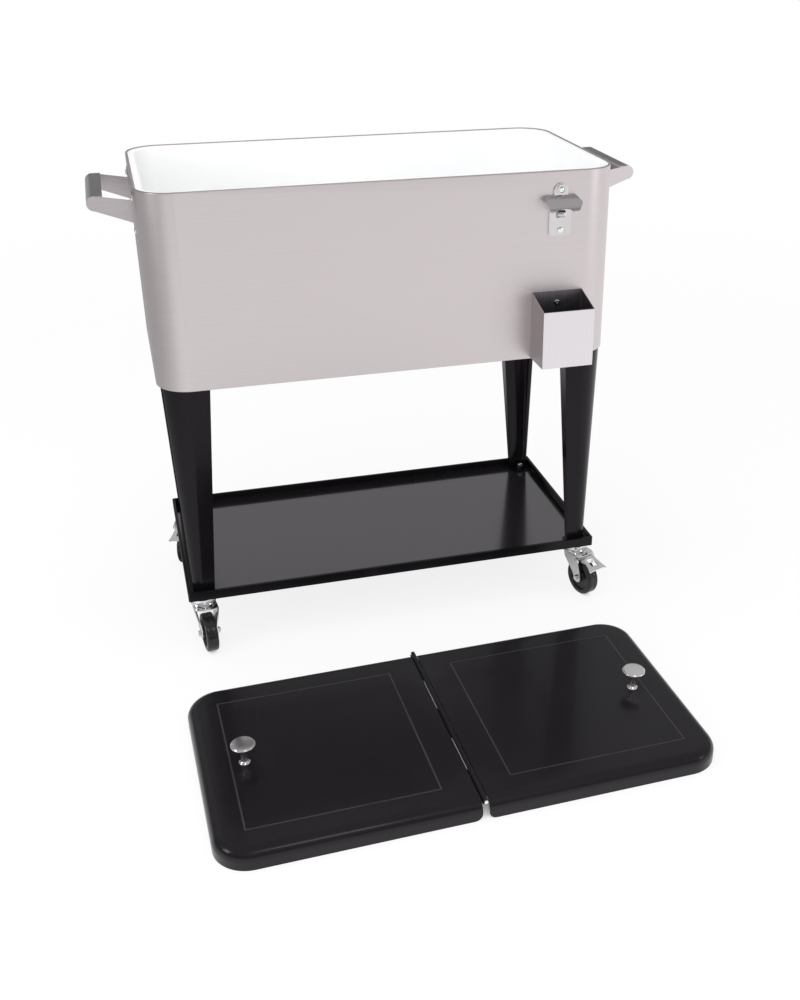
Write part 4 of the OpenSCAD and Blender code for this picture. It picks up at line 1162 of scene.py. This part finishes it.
@dataclass
class Studio:
    """White sweep and plain sky, with a darker room for metal and gloss to mirror."""

    floor_half: float = 60.0
    floor_tone: float = 0.90
    seen_share: float = 0.84
    seen_clear: tuple[float, float] = (1.2, 3.2)
    contact: float = 0.05
    contact_clear: float = 0.4
    mirror_near: float = 0.10
    mirror_clear: tuple[float, float] = (0.36, 0.72)
    mirror_back: float = 0.25
    mirror_across: Point = (1.0, -0.6, 0.0)
    mirror_left: tuple[float, float] = (-1.7, -0.2)
    left_floor: float = 0.46
    sky: float = 0.80
    skyline: float = 0.7
    dark_band: float = 0.28
    ceiling: float = 0.46
    left_sky: float = 0.6
    skyline_band: tuple[float, float] = (0.0, 0.14)
    ceiling_band: tuple[float, float] = (0.28, 0.45)
    left_band: tuple[float, float] = (-0.95, -0.35)
    lamps: tuple[Lamp, ...] = (
        Lamp("overhead", (-0.4, -0.5, 2.9), (0.0, 0.0, 0.3), 2.4, 27.0, mirrored=False),
        Lamp("front", (-1.1, -3.0, 2.0), (0.1, 0.1, 0.6), 2.2, 20.0, mirrored=False),
        Lamp("left strip", (-2.4, -1.0, 1.3), (0.0, -0.4, 0.2), 0.6, 9.0, mirrored=True),
        Lamp("front strip", (0.1, -2.6, 2.3), (0.0, -0.4, 0.1), 0.5, 4.0, mirrored=True),
        Lamp("right strip", (2.2, -2.0, 0.9), (0.1, -0.3, 0.2), 0.6, 3.0, mirrored=True),
    )

    def build(self) -> None:
        """Builds the floor, the world and the lamps."""
        self.floor()
        self.world()
        for lamp in self.lamps:
            lamp.hang()

    def floor(self) -> None:
        """Lays a floor that keeps a soft shadow, is white further out and dark in nearby mirrors."""
        s = self.floor_half
        mesh = bpy.data.meshes.new("studio_floor")
        mesh.from_pydata([(-s, -s, 0.0), (s, -s, 0.0), (s, s, 0.0), (-s, s, 0.0)], [], [(0, 1, 2, 3)])
        material = bpy.data.materials.new("Pale floor")
        wires = Wiring.fresh(material)
        matte = wires.add("ShaderNodeBsdfDiffuse", {"Color": (self.floor_tone,) * 3 + (1.0,)})
        path = wires.add("ShaderNodeLightPath").outputs
        place = wires.add("ShaderNodeTexCoord").outputs["Object"]
        middle = wires.add("ShaderNodeVectorMath", {0: place, 1: cart_middle()}, operation="SUBTRACT")
        away, behind, across = (
            wires.add("ShaderNodeVectorMath", {0: middle, 1: other}, operation=kind).outputs["Value"]
            for kind, other in (("DISTANCE", (0.0, 0.0, 0.0)), ("DISTANCE", (0.0, self.mirror_back, 0.0)),
                                ("DOT_PRODUCT", self.mirror_across)))
        mirror = wires.combine("MULTIPLY", wires.ramp(behind, *self.mirror_clear, self.mirror_near, 1.0),
                               wires.ramp(across, *self.mirror_left, self.left_floor, 1.0))
        white, room = (wires.add("ShaderNodeEmission", {"Color": (1.0,) * 4, "Strength": strength})
                       for strength in (1.0, mirror))
        open_sky = wires.add("ShaderNodeAmbientOcclusion", {"Distance": self.contact}, samples=8)
        glow = wires.combine("MULTIPLY", wires.ramp(away, *self.seen_clear, self.seen_share, 1.0),
                             wires.ramp(open_sky.outputs["AO"], 0.0, self.contact_clear))
        share = wires.combine("MULTIPLY", path["Is Camera Ray"], glow)
        seen = wires.add("ShaderNodeMixShader", {0: share, 1: matte, 2: white})
        bounced = wires.combine("MAXIMUM", path["Is Glossy Ray"], path["Is Transmission Ray"])
        both = wires.add("ShaderNodeMixShader", {0: bounced, 1: seen, 2: room})
        wires.add("ShaderNodeOutputMaterial", {"Surface": both})
        mesh.materials.append(material)
        show("studio_floor", mesh)

    def world(self) -> None:
        """Sets a plain sky in which metal sees a dark band above the skyline and a dim ceiling."""
        world = bpy.data.worlds.new("Studio sky")
        bpy.context.scene.world = world
        wires = Wiring.fresh(world)
        way = wires.add("ShaderNodeTexCoord").outputs["Generated"]
        axes = wires.add("ShaderNodeSeparateXYZ", {0: way}).outputs
        low = wires.ramp(axes["Z"], *self.skyline_band, self.skyline, self.dark_band)
        high = wires.ramp(axes["Z"], *self.ceiling_band, 0.0, self.ceiling - self.dark_band)
        side = wires.ramp(axes["X"], *self.left_band, self.left_sky, 1.0)
        room = wires.combine("MULTIPLY", wires.combine("ADD", low, high), side)
        path = wires.add("ShaderNodeLightPath").outputs
        plain = wires.ramp(path["Is Camera Ray"], 0.0, 1.0, self.sky, 1.0)
        level = wires.add("ShaderNodeMix", {0: path["Is Glossy Ray"], 2: plain, 3: room})
        shade = wires.add("ShaderNodeBackground", {"Color": (1.0,) * 4, "Strength": level})
        wires.add("ShaderNodeOutputWorld", {"Surface": shade})


def main() -> None:
    """Builds the sub-assemblies in order, then the studio."""
    logging.basicConfig(level=logging.INFO, format="%(name)s: %(message)s")
    bpy.context.scene.view_settings.view_transform = "Standard"
    PhotoCamera().build()
    shop = Workshop(Finishes())
    assemblies = [Tub(shop), Stand(shop), *(Caster(shop, corner) for corner in Corner), Handles(shop),
                  BottleSet(shop), Drain(shop), Lid(shop), Hardware(shop)]
    for assembly in assemblies:
        assembly.build()
        LOG.info("%s done", type(assembly).__name__)
    Studio().build()
    LOG.info("%d pieces", len(shop.pieces))


if __name__ == "__main__":
    main()
